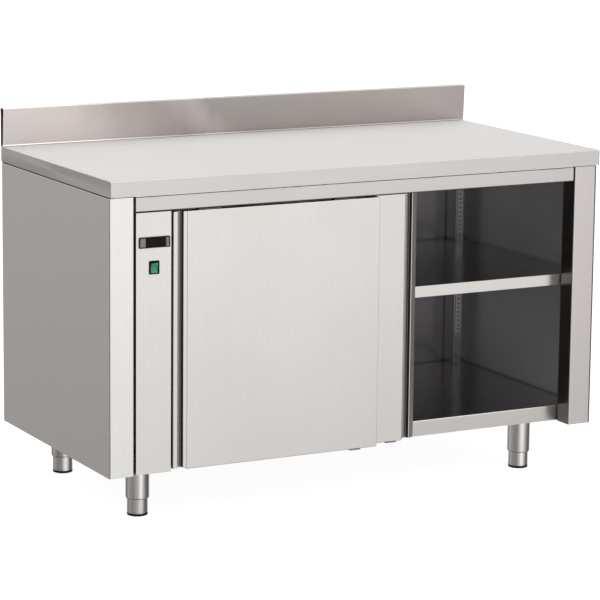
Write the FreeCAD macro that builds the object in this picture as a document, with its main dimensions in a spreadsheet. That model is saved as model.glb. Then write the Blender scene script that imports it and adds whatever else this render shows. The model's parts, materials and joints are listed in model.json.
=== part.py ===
import FreeCAD, Part
import math
import os
import re
import Sketcher

# A heated plate cabinet in stainless steel: a worktop with an upstand on a sheet metal
# body, two sliding doors, a heated chamber with one shelf, a narrow control compartment
# on the left and four adjustable feet. Millimetres, X to the right, Y to the back, Z up,
# with the origin on the floor under the middle of the worktop.

# Driving sizes

SIZES = {
    # Worktop and upstand
    "worktop_length": 1400,
    "worktop_depth": 700,
    "worktop_height": 870,
    "worktop_edge": 40,
    "worktop_sheet": 1.5,
    "board_thickness": 18.5,
    "cross_member_width": 40,
    "cross_member_inset": 120,
    "upstand_height": 100,
    "upstand_foot_depth": 15,
    "upstand_lean": 5,
    # Body shell
    "body_sheet": 1.2,
    "floor_clearance": 136,
    "side_overhang": 1,
    "front_overhang": 12,
    "back_overhang": 4,
    "post_width": 67,
    "post_depth": 56,
    "back_wall": 21,
    "rail_height": 41,
    "end_gap": 4.5,
    "vent_length": 90,
    "vent_height": 5,
    "vent_pitch": 18,
    "vent_drop": 270,
    "vent_inset": 30,
    # Base and chamber
    "base_lift": 1.7,
    "base_height": 41.3,
    "stiffener_width": 80,
    "stiffener_wall": 2,
    "partition_setback": 6.5,
    "air_slot_width": 6,
    "air_slot_height": 110,
    "air_slot_pitch": 16,
    # Shelf and its carriers
    "column_width": 26,
    "column_depth": 55,
    "column_offset": 28.8,
    "strip_width": 17,
    "strip_lift": 83,
    "strip_top_gap": 10,
    "front_strip_inset": 32,
    "slot_pitch": 12.5,
    "slot_width": 8,
    "slot_height": 5,
    "clip_length": 16,
    "clip_width": 14,
    "clip_height": 20,
    "clip_slot_play": 1,
    "clip_rise": 14.55,
    "shelf_height": 29,
    "shelf_play": 1,
    "shelf_front_play": 0.3,
    "shelf_lip": 12,
    "shelf_stiffener_width": 60,
    # Control panel
    "panel_width": 94,
    "panel_depth": 25,
    "panel_lift": 2,
    "panel_seam": 2,
    "panel_bracket_width": 8.5,
    # Thermostat
    "thermostat_inset": 7.5,
    "thermostat_width": 82.5,
    "thermostat_height": 26.5,
    "thermostat_drop": 75.25,
    "thermostat_face": 3,
    "module_width": 70.5,
    "module_height": 21.5,
    "module_depth": 58,
    "module_play": 0.3,
    "display_offset": 17,
    "display_width": 54,
    "display_height": 18,
    "display_recess": 0.6,
    "key_offset": 72.5,
    "key_width": 4,
    "key_height": 5.3,
    "key_pitch": 7,
    "key_rise": 1,
    "key_gap": 0.9,
    "key_play": 0.3,
    # Power switch
    "switch_offset": 48,
    "switch_drop": 62.15,
    "switch_flange_width": 27.4,
    "switch_flange_height": 33,
    "switch_flange": 2,
    "switch_body_width": 22,
    "switch_body_height": 30,
    "switch_body_depth": 24,
    "switch_play": 0.3,
    "rocker_width": 17.4,
    "rocker_half_height": 13,
    "rocker_back_half_height": 8,
    "rocker_front": 7,
    "rocker_waist": 5,
    "rocker_back": 3,
    "rocker_tilt": 8,
    "rocker_pivot_depth": 4,
    "rocker_side_play": 0.5,
    "rocker_end_play": 1.4,
    "rocker_back_play": 3,
    # Doors
    "door_depth": 24,
    "door_sheet": 1.2,
    "door_lift": 3.5,
    "door_top_gap": 5,
    "door_side_gap": 5,
    "front_door_width": 577,
    "rear_door_width": 600,
    "lane_pitch": 28.5,
    "rear_door_setback": 105.5,
    "closed_gap": 3,
    "grip_width": 38,
    "grip_facet_width": 5,
    "grip_facet_depth": 10,
    "grip_nose": 12,
    "groove_width": 16,
    "groove_depth": 12,
    "grip_end_gap": 4,
    "door_channel_width": 10,
    "door_channel_depth": 12,
    # Door hardware
    "track_width": 21,
    "track_height": 31.8,
    "track_wall": 1.5,
    "track_slot": 8,
    "hanger_inset": 100,
    "hanger_width": 20,
    "hanger_plate": 4,
    "hanger_foot_length": 60,
    "hanger_foot_width": 18,
    "hanger_foot": 3,
    "hanger_head": 8,
    "axle_radius": 3,
    "axle_length": 16,
    "roller_radius": 11,
    "roller_width": 5,
    "roller_side_play": 0.3,
    "roller_play": 0.3,
    "running_play": 0.05,
    "stop_length": 12,
    "stop_width": 16,
    "stop_height": 18,
    "stop_play": 0.3,
    "guide_inset": 66,
    "guide_width": 30,
    "guide_plate": 3,
    "guide_nose": 6,
    "guide_tail": 24,
    "guide_pin_radius": 4,
    "guide_pin_height": 9.3,
    "screw_radius": 2,
    "screw_head_radius": 3.5,
    "screw_head": 2,
    "screw_spacing": 16,
    "screw_setback": 12,
    "hole_play": 0.1,
    # Legs and feet
    "leg_side_inset": 137,
    "leg_front_inset": 145,
    "leg_rear_inset": 80,
    "leg_radius": 30,
    "leg_wall": 1.5,
    "leg_plate": 3,
    "leg_chamfer": 2.8,
    "leg_mouth": 44,
    "leg_nut_level": 96,
    "leg_nut_thickness": 8,
    "stud_radius": 6,
    "stud_length": 20,
    "stud_nut_radius": 11,
    "stud_nut_thickness": 9,
    "foot_radius": 26,
    "foot_wall": 1.5,
    "foot_sole": 3,
    "foot_top": 72,
    "foot_play": 0.4,
    "glide_height": 5,
    "glide_radius": 24,
    "spindle_radius": 8,
    "spindle_top": 110,
    # Heating and wiring
    "fan_depth_place": 20,
    "fan_level": 320,
    "fan_housing_side": 170,
    "fan_housing_width": 90,
    "fan_housing_wall": 5,
    "fan_chamber_radius": 72,
    "impeller_radius": 64,
    "impeller_width": 50,
    "impeller_disc": 3,
    "impeller_play": 6,
    "impeller_hub_radius": 14,
    "blade_length": 14,
    "blade_thickness": 1.5,
    "motor_radius": 38,
    "motor_length": 50,
    "shaft_radius": 4,
    "shaft_length": 30,
    "element_radius": 4,
    "element_span": 180,
    "element_pitch": 50,
    "element_stand": 22,
    "element_level": 500,
    "element_flange_height": 80,
    "element_flange": 4,
    "cutout_radius": 12,
    "cutout_length": 20,
    "cutout_depth_place": 190,
    "cutout_level": 525,
    "terminal_depth_place": 60,
    "terminal_length": 110,
    "terminal_height": 36,
    "terminal_thickness": 22,
    "terminal_level": 640,
    "terminal_slot": 6,
    "terminal_pitch": 12,
    "gland_side_inset": 70,
    "gland_back_inset": 160,
    "gland_bore": 5,
    "gland_thread_radius": 10,
    "gland_thread_length": 12,
    "gland_head_radius": 14,
    "gland_head_length": 18,
    "gland_nose_radius": 9,
    "gland_nose_length": 6,
}

CLIP_SLOT_SHARE = 0.5
VENT_COUNT = 9
AIR_SLOT_COUNT = 8
BLADE_COUNT = 16
TERMINAL_COUNT = 8
CROSS_MEMBER_COUNT = 4
HEX_SIDES = 6


def slots_that_fit():
    """As many slots as the chamber's height leaves room for above the strips' foot."""
    upper = SIZES["worktop_height"] - SIZES["worktop_edge"] - SIZES["rail_height"] - SIZES["strip_top_gap"]
    lower = SIZES["floor_clearance"] + SIZES["base_lift"] + SIZES["base_height"] + SIZES["strip_lift"]
    return math.floor((upper - lower) / SIZES["slot_pitch"])


SLOT_COUNT = slots_that_fit()
CLIP_SLOT = math.floor(SLOT_COUNT * CLIP_SLOT_SHARE)

# Places worked out from the sizes

PLACES = {
    "right": "worktop_length / 2",
    "left": "-right",
    "front": "-worktop_depth / 2",
    "back": "worktop_depth / 2",
    "body_right": "right - side_overhang",
    "body_left": "-body_right",
    "body_front": "front + front_overhang",
    "body_back": "back - back_overhang",
    "body_top": "worktop_height - worktop_edge",
    "skin_right": "body_right - body_sheet",
    "skin_left": "-skin_right",
    "skin_back": "body_back - body_sheet",
    "post_right": "body_right - post_width",
    "post_left": "-post_right",
    "rail_right": "post_right - end_gap",
    "rail_left": "-rail_right",
    "rail_bottom": "body_top - rail_height",
    "underside": "floor_clearance + base_lift",
    "base_plate_top": "underside + body_sheet",
    "floor_level": "underside + base_height",
    "pan_underside": "floor_level - body_sheet",
    "panel_right": "rail_left + panel_width",
    "panel_back": "body_front + panel_depth",
    "panel_bottom": "floor_clearance + panel_lift",
    "panel_top": "rail_bottom - panel_seam",
    "chamber_left": "panel_right - partition_setback",
    "partition_left": "chamber_left - body_sheet",
    "chamber_front": "body_front + post_depth",
    "chamber_back": "body_back - back_wall",
    "column_right": "skin_right - column_offset",
    "column_left": "chamber_left + column_offset",
    "column_face": "chamber_back - column_depth",
    "strip_bottom": "floor_level + strip_lift",
    "clip_slot_middle": f"strip_bottom + slot_pitch * {CLIP_SLOT} + slot_pitch / 2",
    "shelf_underside": "clip_slot_middle + clip_rise",
    "shelf_top": "shelf_underside + body_sheet",
    "shelf_left": "chamber_left + body_sheet + shelf_play",
    "shelf_right": "skin_right - body_sheet - shelf_play",
    "shelf_front": "chamber_front + shelf_front_play",
    "shelf_back": "chamber_back - shelf_play",
    "front_strip": "chamber_front + front_strip_inset",
    "door_bottom": "floor_clearance + door_lift",
    "door_top": "rail_bottom - door_top_gap",
    "front_door_left": "panel_right + door_side_gap",
    "rear_door_left": "front_door_left + rear_door_setback",
    "rear_door_right": "rear_door_left + rear_door_width",
    "door_travel": "post_right - closed_gap - rear_door_right",
    "rear_door_face": "body_front + lane_pitch",
    "front_lane": "body_front + door_depth / 2",
    "rear_lane": "rear_door_face + door_depth / 2",
    "track_bottom": "body_top - body_sheet - track_height",
    "track_ledge": "track_bottom + track_wall",
    "axle_level": "track_ledge + roller_play + roller_radius",
    "leg_right": "right - leg_side_inset",
    "leg_left": "-leg_right",
    "leg_front": "front + leg_front_inset",
    "leg_back": "back - leg_rear_inset",
    "vent_level": "body_top - vent_drop",
    "thermostat_left": "rail_left + thermostat_inset",
    "thermostat_level": "rail_bottom - thermostat_drop",
    "thermostat_front": "body_front - thermostat_face",
    "module_left": "thermostat_left + (thermostat_width - module_width) / 2",
    "switch_middle": "rail_left + switch_offset",
    "switch_level": "thermostat_level - switch_drop",
    "pivot_depth": "body_front + rocker_pivot_depth",
    "fan_left": "partition_left - fan_housing_width",
    "gland_place": "skin_left + gland_side_inset",
    "gland_depth_place": "back - gland_back_inset",
}

WORD = re.compile(r"[A-Za-z_]+")

document = FreeCAD.newDocument("PlateWarmerCabinet")
sheet = document.addObject("Spreadsheet::Sheet", "Sizes")
nodes = []


def fill_sheet():
    for row, (alias, size) in enumerate(SIZES.items(), start=1):
        sheet.set(f"A{row}", alias)
        sheet.set(f"B{row}", str(size))
        sheet.setAlias(f"B{row}", alias)
    document.recompute()


def formula(text):
    """Point each named size at its cell and spell out each named place."""
    def spelled(match):
        word = match.group()
        if word in SIZES:
            return f"Sizes.{word}"
        if word in PLACES:
            return f"({formula(PLACES[word])})"
        return word
    return WORD.sub(spelled, text)


def bind(thing, path, text):
    thing.setExpression(path, formula(text))


def place(thing, corner):
    for axis, text in zip("xyz", corner):
        bind(thing, f"Placement.Base.{axis}", text)


# Simple solids and how they combine

X_AXIS = FreeCAD.Vector(1, 0, 0)
Y_AXIS = FreeCAD.Vector(0, 1, 0)
Z_AXIS = FreeCAD.Vector(0, 0, 1)
QUARTER = 90
HALF_TURN = 180
FULL_TURN = 360
UPRIGHT = FreeCAD.Rotation()
FACING = {
    "x": FreeCAD.Rotation(Y_AXIS, QUARTER),
    "y": FreeCAD.Rotation(X_AXIS, -QUARTER),
    "z": UPRIGHT,
}


def block(name, low, high):
    """A rectangular block between two corners."""
    solid = document.addObject("Part::Box", name)
    for side, start, end in zip(("Length", "Width", "Height"), low, high):
        bind(solid, side, f"({end}) - ({start})")
    place(solid, low)
    return solid


def rod(name, start, direction, radius, length):
    """A round bar from its start along +x, +y or +z."""
    solid = document.addObject("Part::Cylinder", name)
    bind(solid, "Radius", radius)
    bind(solid, "Height", length)
    solid.Placement = FreeCAD.Placement(FreeCAD.Vector(), FACING[direction])
    place(solid, start)
    return solid


def joined(name, *pieces):
    solid = document.addObject("Part::MultiFuse", name)
    solid.Shapes = list(pieces)
    return solid


def cut(name, base, *tools):
    solid = document.addObject("Part::Cut", name)
    solid.Base = base
    solid.Tool = tools[0] if len(tools) == 1 else joined(f"{name}_cuts", *tools)
    return solid


def group(name, *pieces):
    """Separate solids that share one node."""
    holder = document.addObject("Part::Compound", name)
    holder.Links = list(pieces)
    return holder


def keep(name, solid):
    """Name a finished sub-part and list it for writing."""
    solid.Label = name
    nodes.append(solid)
    return solid


# Sketched solids

PLANES = {"x": "YZ_Plane", "y": "XZ_Plane", "z": "XY_Plane"}
GUESS_RADIUS = 10
GUESS_MIDDLE = 20


def new_sketch(body, direction, name):
    sketch = body.newObject("Sketcher::SketchObject", name)
    planes = {feature.Role: feature for feature in body.Origin.OriginFeatures}
    sketch.AttachmentSupport = [(planes[PLANES[direction]], "")]
    sketch.MapMode = "FlatFace"
    return sketch


def guessed_corner(number, count):
    """A first place on a circle, before the sizes pull the corner to its own place."""
    angle = 2 * math.pi * number / count
    across = GUESS_MIDDLE + GUESS_RADIUS * math.cos(angle)
    upward = GUESS_MIDDLE + GUESS_RADIUS * math.sin(angle)
    return FreeCAD.Vector(across, upward, 0)


def pin_corner(sketch, line, corner, guess):
    """Hold the start of a line at its two distances from the sketch's origin."""
    parts = (("DistanceX", corner[0], guess.x, -2), ("DistanceY", corner[1], guess.y, -1))
    for kind, text, value, axis in parts:
        if text == "0":
            sketch.addConstraint(Sketcher.Constraint("PointOnObject", line, 1, axis))
            continue
        index = sketch.addConstraint(Sketcher.Constraint(kind, -1, 1, line, 1, value))
        sketch.renameConstraint(index, f"{kind}_{line}")
        bind(sketch, f"Constraints.{kind}_{line}", text)


def outline(sketch, corners):
    """Add one closed outline through the corners to a sketch."""
    first = sketch.GeometryCount
    count = len(corners)
    guesses = [guessed_corner(number, count) for number in range(count)]
    for number in range(count):
        edge = Part.LineSegment(guesses[number], guesses[(number + 1) % count])
        sketch.addGeometry(edge, False)
    for number in range(count):
        after = first + (number + 1) % count
        sketch.addConstraint(Sketcher.Constraint("Coincident", first + number, 2, after, 1))
    for number, corner in enumerate(corners):
        pin_corner(sketch, first + number, corner, guesses[number])


def prism(name, direction, corner, length, *outlines):
    """A section drawn square to a direction and run along it from a corner."""
    body = document.addObject("PartDesign::Body", name)
    sketch = new_sketch(body, direction, f"{name}_section")
    for corners in outlines:
        outline(sketch, corners)
    pad = body.newObject("PartDesign::Pad", f"{name}_pad")
    pad.Profile = sketch
    pad.Reversed = direction == "y"
    bind(pad, "Length", length)
    place(body, corner)
    return body


def turned(name, corner, half_section):
    """A half section of radius and height pairs turned about an upright axis."""
    body = document.addObject("PartDesign::Body", name)
    sketch = new_sketch(body, "y", f"{name}_half_section")
    outline(sketch, half_section)
    solid = body.newObject("PartDesign::Revolution", f"{name}_turned")
    solid.Profile = sketch
    solid.ReferenceAxis = (sketch, ["V_Axis"])
    solid.Angle = FULL_TURN
    place(body, corner)
    return body


def rectangle(width, height):
    return [("0", "0"), (width, "0"), (width, height), ("0", height)]


def tube_section(width, height, wall):
    """A rectangle with a wall all round, as an outer and an inner outline."""
    inner = [
        (wall, wall),
        (f"{width} - {wall}", wall),
        (f"{width} - {wall}", f"{height} - {wall}"),
        (wall, f"{height} - {wall}"),
    ]
    return rectangle(width, height), inner


def channel_section(width, height, wall):
    """Three sides of a rectangle, open along its far side."""
    return [
        ("0", "0"),
        (width, "0"),
        (width, height),
        (f"{width} - {wall}", height),
        (f"{width} - {wall}", wall),
        (wall, wall),
        (wall, height),
        ("0", height),
    ]


# Worktop and upstand

def make_worktop():
    """A folded pan with the edge turned down all round, on a board and four channels."""
    outer = block("worktop_outer", ("left", "front", "body_top"), ("right", "back", "worktop_height"))
    hollow = block(
        "worktop_hollow",
        ("left + worktop_sheet", "front + worktop_sheet", "body_top"),
        ("right - worktop_sheet", "back - worktop_sheet", "worktop_height - worktop_sheet"),
    )
    keep("worktop_skin", cut("worktop_skin", outer, hollow))
    board_bottom = "worktop_height - worktop_sheet - board_thickness"
    board = block(
        "worktop_board",
        ("left + worktop_sheet", "front + worktop_sheet", board_bottom),
        ("right - worktop_sheet", "back - worktop_sheet", "worktop_height - worktop_sheet"),
    )
    keep("worktop_board", board)
    span = f"(worktop_length - cross_member_inset * 2) / {CROSS_MEMBER_COUNT - 1}"
    members = []
    for number in range(CROSS_MEMBER_COUNT):
        start = f"left + cross_member_inset - cross_member_width / 2 + {span} * {number}"
        members.append(prism(
            f"cross_member_{number}",
            "y",
            (start, "front + worktop_sheet", "body_top"),
            "worktop_depth - worktop_sheet * 2",
            *tube_section(
                "cross_member_width",
                "(worktop_edge - worktop_sheet - board_thickness)",
                "body_sheet",
            ),
        ))
    keep("worktop_cross_members", group("worktop_cross_members", *members))


def make_upstand():
    """A folded channel along the back edge, its front face leaning forward, open at both ends."""
    depth = "(upstand_foot_depth + upstand_lean)"
    section = [
        ("upstand_lean", "0"),
        ("0", "upstand_height"),
        (depth, "upstand_height"),
        (depth, "0"),
        (f"{depth} - body_sheet", "0"),
        (f"{depth} - body_sheet", "upstand_height - body_sheet"),
        ("body_sheet", "upstand_height - body_sheet"),
        ("upstand_lean + body_sheet", "0"),
    ]
    corner = ("left", f"back - {depth}", "worktop_height")
    keep("upstand", prism("upstand", "x", corner, "worktop_length", section))


# Body shell

def make_side_panels():
    spans = (("left_side_panel", "body_left", "skin_left"), ("right_side_panel", "skin_right", "body_right"))
    for name, start, end in spans:
        low = (start, "body_front", "floor_clearance")
        keep(name, block(name, low, (end, "body_back", "body_top")))


def make_front_posts():
    """Two upright channels that face the front beside the doors, their open side to the rear."""
    for name, start in (("left_front_post", "skin_left"), ("right_front_post", "post_right")):
        corner = (start, "body_front", "floor_clearance")
        section = channel_section("(post_width - body_sheet)", "post_depth", "body_sheet")
        keep(name, prism(name, "z", corner, "body_top - floor_clearance", section))


def make_back_panel():
    """The outer back, with a row of vents behind the control compartment."""
    plate = block(
        "back_plate",
        ("skin_left", "skin_back", "floor_clearance"),
        ("skin_right", "body_back", "body_top"),
    )
    vents = []
    for number in range(VENT_COUNT):
        level = f"vent_level + vent_pitch * {number}"
        vents.append(block(
            f"vent_{number}",
            ("skin_left + vent_inset", "skin_back", level),
            ("skin_left + vent_inset + vent_length", "body_back", f"{level} + vent_height"),
        ))
    keep("back_panel", cut("back_panel", plate, *vents))


def make_top_rail():
    """A folded cover over the door tracks, open below, with a short gap to each post."""
    section = [
        ("0", "0"),
        ("body_sheet", "0"),
        ("body_sheet", "rail_height - body_sheet"),
        ("post_depth - body_sheet", "rail_height - body_sheet"),
        ("post_depth - body_sheet", "0"),
        ("post_depth", "0"),
        ("post_depth", "rail_height"),
        ("0", "rail_height"),
    ]
    corner = ("rail_left", "body_front", "rail_bottom")
    keep("top_rail", prism("top_rail", "x", corner, "rail_right - rail_left", section))


# Base and chamber walls

def leg_places():
    """The four legs as a name and a place in plan."""
    return (
        ("front_left", "leg_left", "leg_front"),
        ("front_right", "leg_right", "leg_front"),
        ("rear_left", "leg_left", "leg_back"),
        ("rear_right", "leg_right", "leg_back"),
    )


def guide_places():
    """The two door guides as a name, a place along the front and the lane of the door."""
    return (
        ("front", "(front_door_left + door_travel + guide_inset)", "front_lane"),
        ("rear", "(rear_door_right - guide_inset)", "rear_lane"),
    )


def screw_places():
    """The screws of both guides, two beside each other under the base's front edge."""
    for name, middle, _ in guide_places():
        for side, sign in (("left", "-"), ("right", "+")):
            across = f"{middle} {sign} screw_spacing / 2"
            yield f"{name}_{side}", across, "chamber_front + screw_setback"


def make_base_plate():
    """The closing plate under the body, with a tongue behind the control panel."""
    plate = block(
        "base_main",
        ("skin_left", "chamber_front", "underside"),
        ("skin_right", "skin_back", "base_plate_top"),
    )
    tongue = block(
        "base_tongue",
        ("post_left", "panel_back + body_sheet", "underside"),
        ("chamber_left", "chamber_front", "base_plate_top"),
    )
    holes = [
        rod(f"stud_hole_{name}", (x, y, "underside"), "z", "stud_radius + hole_play", "body_sheet")
        for name, x, y in leg_places()
    ]
    holes += [
        rod(f"screw_hole_{name}", (x, y, "underside"), "z", "screw_radius + hole_play", "body_sheet")
        for name, x, y in screw_places()
    ]
    holes.append(rod(
        "gland_hole",
        ("gland_place", "gland_depth_place", "underside"),
        "z",
        "gland_thread_radius + hole_play",
        "body_sheet",
    ))
    keep("base_plate", cut("base_plate", joined("base_sheets", plate, tongue), *holes))


def make_base_stiffeners():
    """Two rectangular tubes across the base, above the front and the rear legs."""
    height = "(base_height - body_sheet * 2)"
    tubes = []
    for name, row in (("front", "leg_front"), ("rear", "leg_back")):
        tube = prism(
            f"stiffener_{name}",
            "x",
            ("skin_left", f"{row} - stiffener_width / 2", "base_plate_top"),
            "skin_right - skin_left",
            *tube_section("stiffener_width", height, "stiffener_wall"),
        )
        holes = [
            rod(
                f"stiffener_hole_{corner}",
                (x, y, "base_plate_top"),
                "z",
                "stud_radius + hole_play",
                "stiffener_wall",
            )
            for corner, x, y in leg_places() if y == row
        ]
        tubes.append(cut(f"drilled_stiffener_{name}", tube, *holes))
    keep("base_stiffeners", group("base_stiffeners", *tubes))


def make_chamber_floor():
    """The chamber's floor, folded down at the front and the rear."""
    drop = "(base_height - body_sheet)"
    depth = "(chamber_back - chamber_front)"
    section = [
        ("0", "0"),
        ("body_sheet", "0"),
        ("body_sheet", f"{drop} - body_sheet"),
        (f"{depth} - body_sheet", f"{drop} - body_sheet"),
        (f"{depth} - body_sheet", "0"),
        (depth, "0"),
        (depth, drop),
        ("0", drop),
    ]
    corner = ("chamber_left", "chamber_front", "base_plate_top")
    keep("chamber_floor", prism("chamber_floor", "x", corner, "skin_right - chamber_left", section))


def make_chamber_liner():
    """The chamber's back wall and ceiling, with boards of insulation behind them."""
    rear = block(
        "rear_liner",
        ("chamber_left", "chamber_back", "base_plate_top"),
        ("skin_right", "chamber_back + body_sheet", "body_top"),
    )
    ceiling = block(
        "ceiling_liner",
        ("chamber_left", "chamber_front", "rail_bottom"),
        ("skin_right", "chamber_back", "rail_bottom + body_sheet"),
    )
    keep("chamber_liner", group("chamber_liner", rear, ceiling))
    rear_board = block(
        "rear_insulation",
        ("chamber_left", "chamber_back + body_sheet", "base_plate_top"),
        ("skin_right", "skin_back", "body_top"),
    )
    ceiling_board = block(
        "ceiling_insulation",
        ("chamber_left", "chamber_front", "rail_bottom + body_sheet"),
        ("skin_right", "chamber_back", "body_top"),
    )
    keep("insulation", group("insulation", rear_board, ceiling_board))


def air_slots(name, first_level):
    """A row of upright slots in the partition, centred on the fan."""
    row = f"air_slot_pitch * {AIR_SLOT_COUNT - 1}"
    slots = []
    for number in range(AIR_SLOT_COUNT):
        start = f"fan_depth_place - ({row} + air_slot_width) / 2 + air_slot_pitch * {number}"
        slots.append(block(
            f"{name}_{number}",
            ("partition_left", start, first_level),
            ("chamber_left", f"{start} + air_slot_width", f"{first_level} + air_slot_height"),
        ))
    return slots


def make_partition():
    """The wall between the control compartment and the chamber, slotted for the warm air."""
    wall = block(
        "partition_wall",
        ("partition_left", "panel_back + body_sheet", "pan_underside"),
        ("chamber_left", "skin_back", "body_top"),
    )
    notch = block(
        "partition_notch",
        ("partition_left", "panel_back + body_sheet", "rail_bottom"),
        ("chamber_left", "chamber_front", "body_top"),
    )
    intake = air_slots("intake_slot", "fan_level - air_slot_height / 2")
    outlet = air_slots("outlet_slot", "element_level - air_slot_height / 2")
    keep("chamber_partition", cut("chamber_partition", wall, notch, *intake, *outlet))


# Shelf and its carriers

def make_rear_columns():
    """Two upright channels at the rear corners of the chamber, open towards the back wall."""
    columns = []
    starts = (("left", "column_left"), ("right", "column_right - column_width"))
    section = channel_section("column_width", "column_depth", "body_sheet")
    for side, start in starts:
        corner = (start, "column_face", "floor_level")
        height = "rail_bottom - floor_level"
        columns.append(prism(f"{side}_rear_column", "z", corner, height, section))
    keep("rear_columns", group("rear_columns", *columns))


def slotted_strip(name, corner, turn):
    """An upright strip with a ladder of slots, its face towards -y before it is turned."""
    body = prism(
        name,
        "y",
        corner,
        "body_sheet",
        rectangle("strip_width", f"slot_pitch * {SLOT_COUNT}"),
    )
    body.Placement = FreeCAD.Placement(body.Placement.Base, FreeCAD.Rotation(Z_AXIS, turn))
    place(body, corner)
    side = "(strip_width - slot_width) / 2"
    low = "(slot_pitch - slot_height) / 2"
    sketch = new_sketch(body, "y", f"{name}_slot")
    outline(sketch, [
        (side, low),
        (f"{side} + slot_width", low),
        (f"{side} + slot_width", f"{low} + slot_height"),
        (side, f"{low} + slot_height"),
    ])
    slot = body.newObject("PartDesign::Pocket", f"{name}_pocket")
    slot.Profile = sketch
    slot.Type = "ThroughAll"
    slot.Midplane = True
    document.recompute()
    ladder = body.newObject("PartDesign::LinearPattern", f"{name}_ladder")
    ladder.Originals = [slot]
    ladder.Direction = (sketch, ["V_Axis"])
    bind(ladder, "Length", f"slot_pitch * {SLOT_COUNT - 1}")
    ladder.Occurrences = SLOT_COUNT
    body.Tip = ladder
    return body


def make_slotted_strips():
    """Two strips on the rear columns, and one near the front of each side wall."""
    middle = "(column_width - strip_width) / 2"
    face = "column_face - body_sheet"
    right_rear = ("column_right - column_width + " + middle, face, "strip_bottom")
    left_rear = ("column_left + " + middle, face, "strip_bottom")
    right_front = ("skin_right - body_sheet", "front_strip + strip_width", "strip_bottom")
    left_front = ("chamber_left + body_sheet", "front_strip", "strip_bottom")
    strips = (
        slotted_strip("right_rear_strip", right_rear, 0),
        slotted_strip("left_rear_strip", left_rear, 0),
        slotted_strip("right_front_strip", right_front, -QUARTER),
        slotted_strip("left_front_strip", left_front, QUARTER),
    )
    keep("slotted_strips", group("slotted_strips", *strips))


def clip(name, start, across, depth_start, depth, tab_low, tab_high):
    """A shelf clip: a block under the shelf with a tab that fills a slot."""
    top = "shelf_underside"
    body = block(
        f"{name}_body",
        (start, depth_start, f"{top} - clip_height"),
        (f"{start} + {across}", f"{depth_start} + {depth}", top),
    )
    tab_half = "(slot_height - clip_slot_play) / 2"
    tab = block(
        f"{name}_tab",
        (tab_low[0], tab_low[1], f"clip_slot_middle - {tab_half}"),
        (tab_high[0], tab_high[1], f"clip_slot_middle + {tab_half}"),
    )
    return joined(name, body, tab)


def make_shelf_clips():
    """Four clips hooked into the strips at one level."""
    tab_half = "(slot_width - clip_slot_play) / 2"
    clips = []
    rear_face = "column_face - body_sheet"
    for side, middle in (
        ("left", "column_left + column_width / 2"),
        ("right", "column_right - column_width / 2"),
    ):
        clips.append(clip(
            f"{side}_rear_clip",
            f"{middle} - clip_width / 2",
            "clip_width",
            f"{rear_face} - clip_length",
            "clip_length",
            (f"{middle} - {tab_half}", rear_face),
            (f"{middle} + {tab_half}", "column_face"),
        ))
    middle = "front_strip + strip_width / 2"
    wall_left = "chamber_left + body_sheet"
    wall_right = "skin_right - body_sheet"
    for side, start, tab_start, tab_end in (
        ("left", wall_left, "chamber_left", wall_left),
        ("right", f"{wall_right} - clip_length", wall_right, "skin_right"),
    ):
        clips.append(clip(
            f"{side}_front_clip",
            start,
            "clip_length",
            f"{middle} - clip_width / 2",
            "clip_width",
            (tab_start, f"{middle} - {tab_half}"),
            (tab_end, f"{middle} + {tab_half}"),
        ))
    keep("shelf_clips", group("shelf_clips", *clips))


def make_shelf():
    """The loose shelf: folded down and back at the front and rear, with a stiffener beneath."""
    depth = "(shelf_back - shelf_front)"
    fold = "(shelf_height - body_sheet)"
    section = [
        ("0", "0"),
        ("shelf_lip", "0"),
        ("shelf_lip", "body_sheet"),
        ("body_sheet", "body_sheet"),
        ("body_sheet", fold),
        (f"{depth} - body_sheet", fold),
        (f"{depth} - body_sheet", "body_sheet"),
        (f"{depth} - shelf_lip", "body_sheet"),
        (f"{depth} - shelf_lip", "0"),
        (depth, "0"),
        (depth, "shelf_height"),
        ("0", "shelf_height"),
    ]
    corner = ("shelf_left", "shelf_front", "shelf_top - shelf_height")
    tray = prism("shelf_tray", "x", corner, "shelf_right - shelf_left", section)
    notches = []
    face = "column_face - body_sheet - shelf_play"
    for side, start in (("left", "column_left"), ("right", "column_right - column_width")):
        notches.append(block(
            f"shelf_notch_{side}",
            (f"{start} - shelf_play", face, "shelf_top - shelf_height"),
            (f"{start} + column_width + shelf_play", "shelf_back", "shelf_top"),
        ))
    notched = cut("notched_tray", tray, *notches)
    stiffener = prism(
        "shelf_stiffener",
        "x",
        (
            "column_left + column_width",
            "(shelf_front + shelf_back - shelf_stiffener_width) / 2",
            "shelf_top - shelf_height",
        ),
        "column_right - column_left - column_width * 2",
        *tube_section("shelf_stiffener_width", fold, "body_sheet"),
    )
    keep("shelf", joined("shelf", notched, stiffener))


# Control panel

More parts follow.
